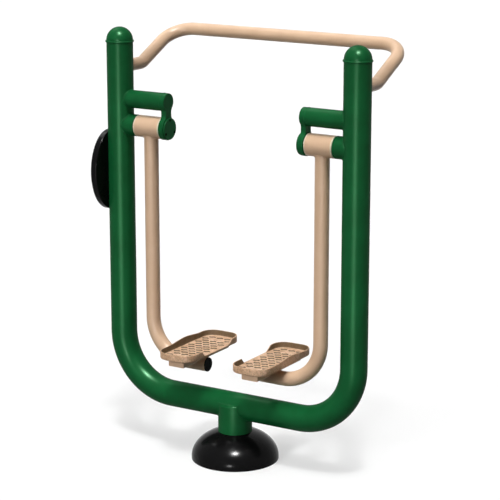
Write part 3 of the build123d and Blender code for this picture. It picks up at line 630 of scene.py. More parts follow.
class WeldBead(Tree):
    """A fillet weld along a seam: a round bead whose width swells with each ripple.

    Attributes:
        steps: points along the seam for each ripple.
        sides: sides of the bead.
        stray: how far a point's swell may stray to either side, as a share of a ripple's.
    """

    name = "weld_bead"
    inputs = {"Bead width": "Float", "Ripple spacing": "Float", "Ripple share": "Float", "Seed": "Int"}
    steps: ClassVar[float] = 6.0
    sides: ClassVar[int] = 10
    stray: ClassVar[float] = 0.5

    def build(self) -> bpy.types.NodeSocket:
        """Step along the seam, swell the bead at each ripple and sweep a circle.

        Returns:
            The bead's mesh.
        """
        sizes = self.start.outputs
        line = self.node("GeometryNodeMeshToCurve", {}, {"Mesh": sizes["Geometry"]})
        step = self.node(
            "ShaderNodeMath", {"operation": "DIVIDE", 1: self.steps}, {0: sizes["Ripple spacing"]}
        )
        seam = self.node(
            "GeometryNodeResampleCurve", {"mode": "LENGTH"},
            {"Curve": line.outputs["Curve"], "Length": step.outputs["Value"]},
        )
        along = self.node("GeometryNodeSplineParameter")
        turns = self.node(
            "ShaderNodeMath", {"operation": "DIVIDE"},
            {0: along.outputs["Length"], 1: sizes["Ripple spacing"]},
        )
        angle = self.node(
            "ShaderNodeMath", {"operation": "MULTIPLY", 1: 2 * math.pi}, {0: turns.outputs["Value"]}
        )
        wave = self.node("ShaderNodeMath", {"operation": "SINE"}, {0: angle.outputs["Value"]})
        uneven = self.node(
            "FunctionNodeRandomValue",
            {"data_type": "FLOAT", RANDOM_LOW: -self.stray, RANDOM_HIGH: self.stray},
            {"Seed": sizes["Seed"]},
        ).outputs[RANDOM_RESULT]
        both = self.node("ShaderNodeMath", {"operation": "ADD"}, {0: wave.outputs["Value"], 1: uneven})
        swell = self.node(
            "ShaderNodeMath", {"operation": "MULTIPLY_ADD", 2: 1.0},
            {0: both.outputs["Value"], 1: sizes["Ripple share"]},
        )
        half = self.node("ShaderNodeMath", {"operation": "DIVIDE", 1: 2.0}, {0: sizes["Bead width"]})
        ring = self.node(
            "GeometryNodeCurvePrimitiveCircle", {"Resolution": self.sides}, {"Radius": half.outputs["Value"]}
        )
        bead = self.node(
            "GeometryNodeCurveToMesh", {"Fill Caps": True},
            {
                "Curve": seam.outputs["Curve"], "Profile Curve": ring.outputs["Curve"],
                "Scale": swell.outputs["Value"],
            },
        )
        return bead.outputs["Mesh"]


class TreadField(Tree):
    """Raised treads, one wavy bar with rounded ends and a film of painted shadow round it at every point.

    Attributes:
        steps: points along a bar.
        sides: sides of a bar.
        blunt: power of the taper towards a bar's ends, which are blunter the smaller it is.
        painted_shade_foot: shares of a bar's height between which the painted shade at its foot sets in.
        painted_shade_facing: how far a face looks along +Y where the painted shade sets in, and where it is
            full.
        shadow_film_shift: how far the film of painted shadow lies from its bar, towards -Y.
        shadow_film_scale: the film's size as shares of the bar's.
        shadow_film_shade: share of painted shade on the film.
    """

    name = "tread_field"
    inputs = {
        "Tread length": "Float", "Tread width": "Float", "Tread height": "Float", "Tread wave": "Float",
    }
    steps: ClassVar[int] = 13
    sides: ClassVar[int] = 12
    blunt: ClassVar[float] = 0.22
    painted_shade_foot: ClassVar[dict[str, float]] = {"From Min": 0.97, "From Max": 0.8}
    painted_shade_facing: ClassVar[dict[str, float]] = {"From Min": 0.3, "From Max": -0.1}
    shadow_film_shift: ClassVar[Place] = (0.0, -1.2 * MM, 0.0)
    shadow_film_scale: ClassVar[Place] = (1.04, 1.25, 0.14)
    shadow_film_shade: ClassVar[float] = 0.75

    def build(self) -> bpy.types.NodeSocket:
        """Set a copy of the bar and its film of painted shadow at each point.

        Returns:
            The bars.
        """
        bar = self.bar()
        joined = self.node("GeometryNodeJoinGeometry")
        for part in (self.shadow_film(bar), self.paint_foot_shade(bar)):
            self.group.links.new(part, joined.inputs["Geometry"])
        points = self.node("GeometryNodeMeshToPoints", {}, {"Mesh": self.start.outputs["Geometry"]})
        copies = self.node(
            "GeometryNodeInstanceOnPoints", {},
            {"Points": points.outputs["Points"], "Instance": joined.outputs["Geometry"]},
        )
        return copies.outputs["Instances"]

    def bar(self) -> bpy.types.NodeSocket:
        """Sweep one wavy bar that thins out at its ends, and press it down to its height.

        Returns:
            The bar.
        """
        sizes = self.start.outputs
        half = self.node("ShaderNodeMath", {"operation": "DIVIDE", 1: 2.0}, {0: sizes["Tread length"]})
        back = self.node("ShaderNodeMath", {"operation": "MULTIPLY", 1: -1.0}, {0: half.outputs["Value"]})
        start = self.node("ShaderNodeCombineXYZ", {}, {"X": back.outputs["Value"]})
        stop = self.node("ShaderNodeCombineXYZ", {}, {"X": half.outputs["Value"]})
        line = self.node(
            "GeometryNodeCurvePrimitiveLine", {},
            {"Start": start.outputs["Vector"], "End": stop.outputs["Vector"]},
        )
        points = self.node(
            "GeometryNodeResampleCurve", {"Count": self.steps}, {"Curve": line.outputs["Curve"]}
        )
        along = self.node("GeometryNodeSplineParameter").outputs["Factor"]
        turn = self.node("ShaderNodeMath", {"operation": "MULTIPLY", 1: -2 * math.pi}, {0: along})
        wave = self.node("ShaderNodeMath", {"operation": "SINE"}, {0: turn.outputs["Value"]})
        sway = self.node(
            "ShaderNodeMath", {"operation": "MULTIPLY"}, {0: wave.outputs["Value"], 1: sizes["Tread wave"]}
        )
        shift = self.node("ShaderNodeCombineXYZ", {}, {"Y": sway.outputs["Value"]})
        wavy = self.node(
            "GeometryNodeSetPosition", {},
            {"Geometry": points.outputs["Curve"], "Offset": shift.outputs["Vector"]},
        )
        rest = self.node("ShaderNodeMath", {"operation": "SUBTRACT", 0: 1.0}, {1: along})
        inner = self.node("ShaderNodeMath", {"operation": "MULTIPLY"}, {0: along, 1: rest.outputs["Value"]})
        full = self.node("ShaderNodeMath", {"operation": "MULTIPLY", 1: 4.0}, {0: inner.outputs["Value"]})
        taper = self.node(
            "ShaderNodeMath", {"operation": "POWER", 1: self.blunt}, {0: full.outputs["Value"]}
        )
        width = self.node("ShaderNodeMath", {"operation": "DIVIDE", 1: 2.0}, {0: sizes["Tread width"]})
        ring = self.node(
            "GeometryNodeCurvePrimitiveCircle", {"Resolution": self.sides},
            {"Radius": width.outputs["Value"]},
        )
        round_bar = self.node(
            "GeometryNodeCurveToMesh", {"Fill Caps": False},
            {
                "Curve": wavy.outputs["Geometry"], "Profile Curve": ring.outputs["Curve"],
                "Scale": taper.outputs["Value"],
            },
        )
        flat = self.node(
            "ShaderNodeMath", {"operation": "DIVIDE"}, {0: sizes["Tread height"], 1: width.outputs["Value"]}
        )
        squeeze = self.node("ShaderNodeCombineXYZ", {"X": 1.0, "Y": 1.0}, {"Z": flat.outputs["Value"]})
        pressed = self.node(
            "GeometryNodeTransform", {},
            {"Geometry": round_bar.outputs["Mesh"], "Scale": squeeze.outputs["Vector"]},
        )
        return pressed.outputs["Geometry"]

    def paint_foot_shade(self, bar: bpy.types.NodeSocket) -> bpy.types.NodeSocket:
        """Paint shade on the foot of a bar, where it doesn't look along +Y.

        Args:
            bar: the clean bar.

        Returns:
            The bar with its share of painted shade on its points.
        """
        place = self.node("GeometryNodeInputPosition").outputs["Position"]
        height = self.node("ShaderNodeSeparateXYZ", {}, {"Vector": place}).outputs["Z"]
        rise = self.node(
            "ShaderNodeMath", {"operation": "DIVIDE"}, {0: height, 1: self.start.outputs["Tread height"]}
        )
        foot = self.node("ShaderNodeMapRange", self.painted_shade_foot, {"Value": rise.outputs["Value"]})
        normal = self.node("GeometryNodeInputNormal").outputs["Normal"]
        facing = self.node("ShaderNodeSeparateXYZ", {}, {"Vector": normal}).outputs["Y"]
        front = self.node("ShaderNodeMapRange", self.painted_shade_facing, {"Value": facing})
        share = self.node(
            "ShaderNodeMath", {"operation": "MULTIPLY"},
            {0: foot.outputs["Result"], 1: front.outputs["Result"]},
        )
        foot_shaded = self.node(
            "GeometryNodeStoreNamedAttribute", {"data_type": "FLOAT", "domain": "POINT", "Name": PAINTED_SHADE},
            {"Geometry": bar, "Value": share.outputs["Value"]},
        )
        return foot_shaded.outputs["Geometry"]

    def shadow_film(self, bar: bpy.types.NodeSocket) -> bpy.types.NodeSocket:
        """Make the thin film of painted shadow round the foot of a bar: a flattened copy of it, a little
        towards -Y.

        Args:
            bar: the clean bar.

        Returns:
            The film, with its share of painted shade on its points.
        """
        thin = self.node(
            "GeometryNodeTransform", {"Translation": self.shadow_film_shift, "Scale": self.shadow_film_scale},
            {"Geometry": bar},
        )
        shadow_film = self.node(
            "GeometryNodeStoreNamedAttribute",
            {"data_type": "FLOAT", "domain": "POINT", "Name": PAINTED_SHADE, "Value": self.shadow_film_shade},
            {"Geometry": thin.outputs["Geometry"]},
        )
        return shadow_film.outputs["Geometry"]


@dataclass
class Trees:
    """The Geometry Nodes trees that the sub-assemblies share.

    Attributes:
        tube: the tree of the bent tubes.
        weld: the tree of the weld beads.
        treads: the tree of the pedals' treads.
    """

    tube: BentTube = field(default_factory=BentTube)
    weld: WeldBead = field(default_factory=WeldBead)
    treads: TreadField = field(default_factory=TreadField)


def once_round(steps: int) -> list[float]:
    """Angles of evenly spaced points, once round a circle."""
    return [2 * math.pi * step / steps for step in range(steps)]


def cross_seam(
    hub: Place, branch_r: float, main_r: float, branch_axis: Vector, main_axis: Vector, steps: int = 72
) -> list[Place]:
    """Seam where a round branch meets a round tube at a right angle.

    Args:
        hub: where the two axes cross.
        branch_r: radius of the branch.
        main_r: radius of the tube that it meets.
        branch_axis: unit vector out of the tube along the branch.
        main_axis: unit vector along the tube.
        steps: points round the seam.

    Returns:
        The points of the seam.
    """
    across = branch_axis.cross(main_axis)
    points = []
    for turn in once_round(steps):
        side = branch_r * math.cos(turn)
        out = math.sqrt(max(main_r**2 - side**2, 0.0))
        point = Vector(hub) + side * across + branch_r * math.sin(turn) * main_axis + out * branch_axis
        points.append(tuple(point))
    return points


@dataclass
class WeldGun:
    """Lays weld beads along seams.

    Attributes:
        trees: the shared trees.
        bench: where the beads are attached to their bodies.
        bead_width: width of a bead.
        ground_width: what is left of a bead that is ground down.
        ripple_spacing: distance from ripple to ripple.
        ripple_share: how much a ripple swells the bead.
        beads: number of beads laid so far, which is each bead's seed.
    """

    trees: Trees
    bench: Bench
    bead_width: float = 5.0 * MM
    ground_width: float = 2.0 * MM
    ripple_spacing: float = 3.2 * MM
    ripple_share: float = 0.1
    beads: int = 0

    def lay(
        self, name: str, seam: Iterable[Place], body: str, finish: Finish, ground: bool = False
    ) -> None:
        """Lay one bead round a closed seam.

        Args:
            name: the bead's name.
            seam: points of the seam.
            body: the body that it rides on.
            finish: the coat over the bead.
            ground: whether the bead is ground down to a thin line.
        """
        self.beads += 1
        sizes = {
            "Bead width": self.ground_width if ground else self.bead_width,
            "Ripple spacing": self.ripple_spacing,
            "Ripple share": self.ripple_share, "Seed": self.beads,
        }
        bead = self.trees.weld.grow(name, polyline(seam, closed=True), finish, sizes)
        self.bench.keep(bead, body, finish)


@dataclass
class GroundFoot:
    """The foot: ground flange, ribs, pedestal and the domed cover over them.

    Attributes:
        bench: where the pieces are finished.
        welds: the weld gun.
        pedestal_r: outer radius of the pedestal.
        pedestal_top: height of its top.
        rail_r: radius of the frame tube that it carries.
        rail_z: height of that tube's axis.
    """

    bench: Bench
    welds: WeldGun
    pedestal_r: float = 57.15 * MM
    pedestal_top: float = 196.0 * MM
    rail_r: float = POST_R
    rail_z: float = RAIL_Z

    def build(self) -> None:
        """Dress the foot and weld it to the rail."""
        self.bench.dress(DIPPED_ZINC, "base_flange", "base_gussets")
        self.bench.dress(GREEN_COAT, "pedestal_tube")
        self.bench.dress(GLOSS_MOULDING, "base_cover")
        self.welds.lay("pedestal_weld", self.rail_seam(), "frame", GREEN_COAT)

    def rail_seam(self, steps: int = 48) -> list[Place]:
        """Line where the rail leaves the pedestal.

        Args:
            steps: points under the rail on each side.

        Returns:
            The points of the seam, once round.
        """
        rise = self.pedestal_top - self.rail_z
        start = math.asin(rise / self.rail_r)
        seam: list[Place] = []
        for way in (1, -1):
            for step in range(steps + 1):
                turn = math.pi - start + (math.pi + 2 * start) * step / steps
                y = way * self.rail_r * math.cos(turn)
                z = self.rail_z + self.rail_r * math.sin(turn)
                seam.append((way * math.sqrt(self.pedestal_r**2 - y**2), y, z))
        return seam


@dataclass
class UFrame:
    """The frame tube, bent into a U, with a cap on each post.

    Attributes:
        bench: where the pieces are finished.
        trees: the shared trees.
        tube_d: diameter of the tube.
        bend_r: bend radius of its axis.
        post_x: distance of each post's axis from the middle.
        post_top: height of the posts' ends.
        rail_z: height of the rail's axis.
        bend_steps: steps round each bend.
        sides: sides of the tube.
    """

    bench: Bench
    trees: Trees
    tube_d: float = 2 * POST_R
    bend_r: float = 198.0 * MM
    post_x: float = POST_X
    post_top: float = 1374.0 * MM
    rail_z: float = RAIL_Z
    bend_steps: int = 40
    sides: int = 96

    def build(self) -> None:
        """Grow the tube and dress the caps."""
        corners = [
            (-self.post_x, 0.0, self.post_top), (-self.post_x, 0.0, self.rail_z),
            (self.post_x, 0.0, self.rail_z), (self.post_x, 0.0, self.post_top),
        ]
        sizes = {"Tube diameter": self.tube_d, "Bend steps": self.bend_steps, "Sides": self.sides}
        route = polyline(corners, (self.bend_r, self.bend_r))
        tube = self.trees.tube.grow("u_frame_tube", route, GREEN_COAT, sizes)
        self.bench.keep(tube, "frame", GREEN_COAT, "main_frame")
        self.bench.dress(GREEN_COAT, "left_post_cap", "right_post_cap")


@dataclass
class Handlebar:
    """The beige handlebar, welded to both posts on the side that the user faces.

    Attributes:
        bench: where the pieces are finished.
        trees: the shared trees.
        welds: the weld gun.
        tube_d: diameter of the bar.
        post_x: distance of its ends from the middle.
        post_r: radius of the posts.
        root_z: height where it leaves the posts.
        cross_z: height of the crossbar.
        bend_y: distance from the posts' axes where it turns upwards.
        cross_y: distance of the crossbar from the posts' axes.
        root_bend: bend radius near the posts.
        corner_bend: bend radius at the crossbar's corners.
        tuck: how far the tube starts inside the post.
        bend_steps: steps round each bend.
        sides: sides of the tube.
    """

    bench: Bench
    trees: Trees
    welds: WeldGun
    tube_d: float = 42.4 * MM
    post_x: float = POST_X
    post_r: float = POST_R
    root_z: float = 1290.0 * MM
    cross_z: float = 1388.0 * MM
    bend_y: float = 128.0 * MM
    cross_y: float = 329.0 * MM
    root_bend: float = 55.0 * MM
    corner_bend: float = 85.0 * MM
    tuck: float = 12.0 * MM
    bend_steps: int = 24
    sides: int = 64

    def build(self) -> None:
        """Grow the bar and weld it on."""
        start = self.post_r - self.tuck
        near = [
            (-self.post_x, start, self.root_z), (-self.post_x, self.bend_y, self.root_z),
            (-self.post_x, self.cross_y, self.cross_z),
        ]
        far = [(-x, y, z) for x, y, z in reversed(near)]
        bends = (self.root_bend, self.corner_bend, self.corner_bend, self.root_bend)
        sizes = {"Tube diameter": self.tube_d, "Bend steps": self.bend_steps, "Sides": self.sides}
        bar = self.trees.tube.grow("handlebar_tube", polyline(near + far, bends), BEIGE_COAT, sizes)
        self.bench.keep(bar, "frame", BEIGE_COAT, "handlebar")
        for side in Side:
            hub = (side.sign * self.post_x, 0.0, self.root_z)
            up, out = Vector((0, 0, 1)), Vector((0, 1, 0))
            seam = cross_seam(hub, self.tube_d / 2, self.post_r, out, up)
            self.welds.lay(f"{side.label}_handlebar_weld", seam, "frame", BEIGE_COAT)


@dataclass
class SignPlate:
    """The bare oval plate on the left post, with its screws and inserts.

    Attributes:
        bench: where the pieces are finished.
    """

    bench: Bench

    def build(self) -> None:
        """Dress the plate and what holds it."""
        self.bench.dress(GLOSS_MOULDING, "sign_plate")
        self.bench.dress(STAINLESS, "sign_plate_screws")
        self.bench.dress(PLATED_ZINC, "sign_plate_inserts")


@dataclass
class PivotMount:
    """What carries one leg's axle: support arm, hub boss, link plate and cap.

    Attributes:
        bench: where the pieces are finished.
        welds: the weld gun.
        side: the side of the machine.
        post_x: distance of the post's axis from the middle.
        post_r: radius of the post.
        arm_z: height of the support arm.
        arm_r: its radius.
        pivot_z: height of the axle.
        boss_r: radius of the hub boss.
        link_x: distance of the link plate's outer face from the middle.
        seam_steps: points round the seam of the link plate.
    """

    bench: Bench
    welds: WeldGun
    side: Side
    post_x: float = POST_X
    post_r: float = POST_R
    arm_z: float = 1187.0 * MM
    arm_r: float = 30.15 * MM
    pivot_z: float = PIVOT_Z
    boss_r: float = 36.5 * MM
    link_x: float = 274.0 * MM
    seam_steps: int = 72

    def build(self) -> None:
        """Dress the mount and lay its welds."""
        name, sign = self.side.label, self.side.sign
        coated = ("support_arm", "hub_boss", "link_plate", "link_cap")
        ground = ("axle", "axle_collars", "axle_spacer", "inner_races")
        self.bench.dress(GREEN_COAT, *(f"{name}_{part}" for part in coated))
        self.bench.dress(GROUND_STEEL, *(f"{name}_{part}" for part in ground))
        # The cap screws are painted nearly black, standing in for the shade inside their sockets.
        self.bench.dress(SOCKET_PAINTED_SHADE_COAT, f"{name}_link_cap_screws")
        self.bench.dress(PLATED_ZINC, f"{name}_axle_nut")
        inward, up = Vector((-sign, 0, 0)), Vector((0, 0, 1))
        for label, height, radius in (("arm", self.arm_z, self.arm_r), ("boss", self.pivot_z, self.boss_r)):
            hub = (sign * self.post_x, 0.0, height)
            seam = cross_seam(hub, radius, self.post_r, inward, up)
            self.welds.lay(f"{name}_{label}_weld", seam, "frame", GREEN_COAT)
        ring = [
            (sign * self.link_x, self.arm_r * math.cos(turn), self.arm_z + self.arm_r * math.sin(turn))
            for turn in once_round(self.seam_steps)
        ]
        self.welds.lay(f"{name}_link_weld", ring, "frame", GREEN_COAT, ground=True)


@dataclass
class SwingLeg:
    """One swinging leg: hub with its bearings, leg tube, plug and bearer.

    Attributes:
        bench: where the pieces are finished.
        trees: the shared trees.
        welds: the weld gun.
        side: the side of the machine.
        hub_x: distance of the hub's middle from the middle of the machine.
        pivot_z: height of the axle.
        hub_r: radius of the hub.
        tube_d: diameter of the leg tube.
        bend_r: bend radius of its axis.
        run_z: height of its level run.
        end_x: where the level run ends, at the plug.
        tuck: how far above the hub's lowest line the tube starts.
        bearer_x: distance of the pedal bearer's middle from the middle of the machine.
        bearer_w: its width.
        bearer_z: height of its underside.
        bend_steps: steps round the bend.
        sides: sides of the tube.
    """

    bench: Bench
    trees: Trees
    welds: WeldGun
    side: Side
    hub_x: float = HUB_X
    pivot_z: float = PIVOT_Z
    hub_r: float = 36.5 * MM
    tube_d: float = 48.3 * MM
    bend_r: float = 138.0 * MM
    run_z: float = 309.05 * MM
    end_x: float = 108.0 * MM
    tuck: float = 10.5 * MM
    bearer_x: float = PEDAL_X
    bearer_w: float = 60.0 * MM
    bearer_z: float = 331.15 * MM
    bend_steps: int = 32
    sides: int = 64

    def build(self) -> None:
        """Grow the tube, dress the rest and lay the welds."""
        name, sign = self.side.label, self.side.sign
        body = f"{name}_leg"
        corners = [
            (sign * self.hub_x, 0.0, self.pivot_z - self.hub_r + self.tuck),
            (sign * self.hub_x, 0.0, self.run_z), (sign * self.end_x, 0.0, self.run_z),
        ]
        sizes = {"Tube diameter": self.tube_d, "Bend steps": self.bend_steps, "Sides": self.sides}
        route = polyline(corners, (self.bend_r,))
        tube = self.trees.tube.grow(f"{name}_bent_leg", route, BEIGE_COAT, sizes)
        self.bench.keep(tube, body, BEIGE_COAT, f"{name}_leg_tube")
        dressed = (
            (HUB_COAT, ("hub_sleeve",)),
            (BEIGE_COAT, ("pedal_bearer", "pedal_bolts")),
            (GROUND_STEEL, ("outer_races", "stop_ring", "bearing_balls")),
            (PLATED_ZINC, ("hub_circlips", "pedal_nuts")),
            (SEAL_RUBBER, ("hub_seals", "stop_pads")),
            (PRESSED_STEEL, ("ball_cages",)),
            (PLUG_PLASTIC, ("end_plug",)),
        )
        for finish, parts in dressed:
            self.bench.dress(finish, *(f"{name}_{part}" for part in parts))
        hub = (sign * self.hub_x, 0.0, self.pivot_z)
        seam = cross_seam(hub, self.tube_d / 2, self.hub_r, Vector((0, 0, -1)), Vector((1, 0, 0)))
        self.welds.lay(f"{name}_hub_weld", seam, body, BEIGE_COAT)
        self.welds.lay(f"{name}_bearer_weld", self.bearer_seam(), body, BEIGE_COAT)

    def bearer_seam(self, steps: int = 12) -> list[Place]:
        """Line where the pedal bearer sits on the tube.

        Args:
            steps: points on each side.

        Returns:
            The points of the seam, once round.
        """
        tube_r = self.tube_d / 2
        half_y = math.sqrt(tube_r**2 - (self.bearer_z - self.run_z) ** 2)
        seam: list[Place] = []
        for way in (-1, 1):
            for step in range(steps + 1):
                x = self.bearer_x + way * self.bearer_w * (step / steps - 0.5)
                seam.append((self.side.sign * x, way * half_y, self.bearer_z))
            for step in range(1, steps):
                y = way * half_y * (1 - 2 * step / steps)
                z = self.run_z + math.sqrt(tube_r**2 - y**2)
                seam.append((self.side.sign * (self.bearer_x + way * self.bearer_w / 2), y, z))
        return seam


def ease(share: float) -> float:
    """Ease a share in and out between 0 and 1."""
    return share * share * (3 - 2 * share)


@dataclass
class FootPedal:
    """One cast foot pedal: a shallow tray, open on its inner side, with raised treads.

    Attributes:
        bench: where the pieces are finished.
        trees: the shared trees.
        side: the side of the machine.
        middle_x: distance of its middle from the middle of the machine.
        base_z: height of its underside.
        width: size across the machine.
        length: size along the user's step.
        height: height of the wall.
        corner_r: radius of its corners, seen from above.
        wall: thickness of the wall.
        floor: thickness of the floor.
        base_round: round of the lower edge.
        rim_round: round of the rim.
        root_round: round between wall and floor.
        near_gap: where the near wall has come down to the floor.
        near_slope: length over which it comes down.
        near_steepness: height, as a share of the wall's, to which its curve climbs over that length.
        far_gap: where the far wall starts to rise.
        far_slope: length over which it rises.
        low_share: what is left of the wall's height in the opening.
        arch: how far the outer wall arches up.
        straight: part of its direction across the machine from which the outline counts as straight.
        bolt_x: distance of the bolts from the middle line.
        bolt_y: distance of the bolts from the middle, along the step.
        head_r: radius of the countersink at the floor.
        shank_r: radius of the bolt hole.
        tread: length, width and height of a tread, and how far it waves to each side.
        tread_pitch: pitch of the treads across and along.
        tread_rows: number of rows.
        tread_columns: number of treads in the longer rows.
        bolt_clear: how near to a bolt a tread may be.
        wall_painted_shade: share of painted shade on the inner side of the wall.
        painted_shade_margin: how far inside the rim and above the floor that painted shade starts.
        point_spacing: spacing of the points along the outline's straight sides.
        corner_steps: points round each corner of the outline.
        round_steps: steps round each edge of the wall.
        hole_steps: points round a bolt hole.
    """

    bench: Bench
    trees: Trees
    side: Side
    middle_x: float = PEDAL_X
    base_z: float = 356.15 * MM
    width: float = 135.4 * MM
    length: float = 330.7 * MM
    height: float = 24.0 * MM
    corner_r: float = 45.0 * MM
    wall: float = 4.5 * MM
    floor: float = 5.0 * MM
    base_round: float = 4.0 * MM
    rim_round: float = 1.8 * MM
    root_round: float = 3.0 * MM
    near_gap: float = -61.0 * MM
    near_slope: float = 25.0 * MM
    near_steepness: float = 1.25
    far_gap: float = 68.0 * MM
    far_slope: float = 42.0 * MM
    low_share: float = 0.03
    arch: float = 7.5 * MM
    straight: float = 0.999
    bolt_x: float = 15.0 * MM
    bolt_y: float = 99.0 * MM
    head_r: float = 8.35 * MM
    shank_r: float = 4.35 * MM
    tread: tuple[float, float, float, float] = (25.0 * MM, 5.0 * MM, 3.0 * MM, 2.8 * MM)
    tread_pitch: tuple[float, float] = (30.0 * MM, 22.0 * MM)
    tread_rows: int = 13
    tread_columns: int = 4
    bolt_clear: float = 18.5 * MM
    wall_painted_shade: float = 0.85
    painted_shade_margin: float = 1.0 * MM
    point_spacing: float = 4.0 * MM
    corner_steps: int = 12
    round_steps: int = 5
    hole_steps: int = 24

    def build(self) -> None:
        """Build the tray and the treads."""
        name = self.side.label
        tray = self.build_tray()
        self.bench.keep(tray, f"{name}_leg", CAST_COAT, f"{name}_pedal")
        length, width, height, wave = self.tread
        sizes = {"Tread length": length, "Tread width": width, "Tread height": height, "Tread wave": wave}
        route = polyline(self.tread_places())
        treads = self.trees.treads.grow(f"{name}_pedal_treads", route, CAST_COAT, sizes)
        self.bench.keep(treads, f"{name}_leg", CAST_COAT)

    def place(self, x: float, y: float, z: float) -> Place:
        """Turn a place about the pedal's middle, inner side at -X, into the frame's own."""
        return (self.side.sign * (self.middle_x + x), y, self.base_z + z)

    def stations(self) -> list[tuple[float, float, float, float]]:
        """Points round the outline, each with its outward direction.

        Returns:
            Place and direction of each point, once round.
        """
        a, b = self.width / 2 - self.corner_r, self.length / 2 - self.corner_r
        runs = ((a, -b, a, b), (a, b, -a, b), (-a, b, -a, -b), (-a, -b, a, -b))
        found = []
        for index, (x0, y0, x1, y1) in enumerate(runs):
            turn = math.radians(90 * index)
            nx, ny = math.cos(turn), math.sin(turn)
            steps = max(2, round(math.hypot(x1 - x0, y1 - y0) / self.point_spacing))
            for step in range(steps):
                t = step / steps
                x = x0 + (x1 - x0) * t + nx * self.corner_r
                y = y0 + (y1 - y0) * t + ny * self.corner_r
                found.append((x, y, nx, ny))
            for step in range(self.corner_steps):
                bend = turn + math.radians(90 * step / self.corner_steps)
                nx, ny = math.cos(bend), math.sin(bend)
                found.append((x1 + nx * self.corner_r, y1 + ny * self.corner_r, nx, ny))
        return found

    def wall_share(self, y: float, nx: float) -> float:
        """How much of the wall stands at a point of the outline.

        Args:
            y: the point's place along the step.
            nx: the part of its outward direction across the machine.

        Returns:
            1 for the plain wall, less in the inner side's opening, more in the outer side's arch.
        """
        if nx > self.straight:
            low, high = self.near_gap - self.near_slope, self.far_gap + self.far_slope
            inward = max(1 - abs(2 * y - low - high) / (high - low), 0.0)
            return 1 + self.arch * ease(inward) / (self.height - self.floor)
        if nx > -self.straight:
            return 1.0
        if y < self.near_gap:
            share = self.near_steepness * ((self.near_gap - y) / self.near_slope) ** 2
        else:
            share = ease(min(max((y - self.far_gap) / self.far_slope, 0.0), 1.0))
        return min(max(share, self.low_share), 1.0)

    def profile(self) -> list[tuple[float, float]]:
        """Cross-section of the wall from the underside over the rim to the floor.

        Returns:
            Inset from the outline and height of each point.
        """
        turns = [math.radians(90 * step / self.round_steps) for step in range(self.round_steps + 1)]
        top, inside = self.height - self.rim_round, self.wall - self.rim_round
        base = [
            (self.base_round * (1 - math.sin(t)), self.base_round * (1 - math.cos(t))) for t in turns
        ]
        outer = [(self.rim_round * (1 - math.cos(t)), top + self.rim_round * math.sin(t)) for t in turns]
        inner = [(inside + self.rim_round * math.sin(t), top + self.rim_round * math.cos(t)) for t in turns]
        root = [
            (
                self.wall + self.root_round * (1 - math.cos(t)),
                self.floor + self.root_round * (1 - math.sin(t)),
            )
            for t in turns
        ]
        return base + outer + inner + root

    def build_tray(self) -> bpy.types.Object:
        """Build the tray with its countersunk bolt holes.

        Returns:
            The tray.
        """
        made = bmesh.new()
        painted_shade = made.verts.layers.float.new(PAINTED_SHADE)
        wall_start, floor_end = self.wall - self.painted_shade_margin, self.floor + self.painted_shade_margin
        rings = []
        outline = self.stations()
        for inset, height in self.profile():
            ring = []
            for x, y, nx, ny in outline:
                z = height
                if z > self.floor:
                    z = self.floor + (z - self.floor) * self.wall_share(y, nx)
                vert = made.verts.new(self.place(x - nx * inset, y - ny * inset, z))
                # The inner side of the wall is drawn darker: painted shade.
                vert[painted_shade] = self.wall_painted_shade if inset >= wall_start and z > floor_end else 0.0
                ring.append(vert)
            rings.append(ring)
        for low, high in zip(rings, rings[1:]):
            self.bridge(made, low, high, smooth=True)
        tops, bottoms = [], []
        for x in (-self.bolt_x, self.bolt_x):
            for y in (-self.bolt_y, self.bolt_y):
                sink = self.floor - (self.head_r - self.shank_r)
                loops = [
                    self.hole_loop(made, x, y, radius, z)
                    for radius, z in ((self.head_r, self.floor), (self.shank_r, sink), (self.shank_r, 0.0))
                ]
                for upper, lower in zip(loops, loops[1:]):
                    self.bridge(made, upper, lower, smooth=False)
                tops.append(loops[0])
                bottoms.append(loops[-1])
        for border, holes in ((rings[-1], tops), (rings[0], bottoms)):
            self.fill(made, border, holes)
        bmesh.ops.recalc_face_normals(made, faces=made.faces)
        mesh = bpy.data.meshes.new(f"{self.side.label}_pedal_tray")
        made.to_mesh(mesh)
        made.free()
        mesh.materials.append(CAST_COAT.material())
        return new_object(mesh.name, mesh)

    def hole_loop(
        self, made: bmesh.types.BMesh, x: float, y: float, radius: float, z: float
    ) -> list[bmesh.types.BMVert]:
        """Add the points of one round edge of a bolt hole.

        Args:
            made: the mesh.
            x: place of the hole's middle across the pedal.
            y: place of its middle along the pedal.
            radius: radius of the edge.
            z: height of the edge.

        Returns:
            The points, once round.
        """
        return [
            made.verts.new(self.place(x + radius * math.cos(turn), y + radius * math.sin(turn), z))
            for turn in once_round(self.hole_steps)
        ]

    @staticmethod
    def bridge(
        made: bmesh.types.BMesh, near: list[bmesh.types.BMVert], far: list[bmesh.types.BMVert], smooth: bool
    ) -> None:
        """Join two closed loops of points with a band of faces.

        Args:
            made: the mesh.
            near: points of the one loop.
            far: points of the other, as many.
            smooth: whether the band is shaded smooth.
        """
        for i in range(len(near)):
            j = (i + 1) % len(near)
            made.faces.new((near[i], near[j], far[j], far[i])).smooth = smooth

    @staticmethod
    def fill(
        made: bmesh.types.BMesh, border: list[bmesh.types.BMVert], holes: list[list[bmesh.types.BMVert]]
    ) -> None:
        """Fill a level face inside a border, round its holes.

        Args:
            made: the mesh.
            border: points of the outer edge.
            holes: points of each hole's edge.
        """
        edges = []
        for loop in (border, *holes):
            for i, vert in enumerate(loop):
                edge = made.edges.get((vert, loop[(i + 1) % len(loop)]))
                edges.append(edge or made.edges.new((vert, loop[(i + 1) % len(loop)])))
        bmesh.ops.triangle_fill(made, use_beauty=True, use_dissolve=False, edges=edges)

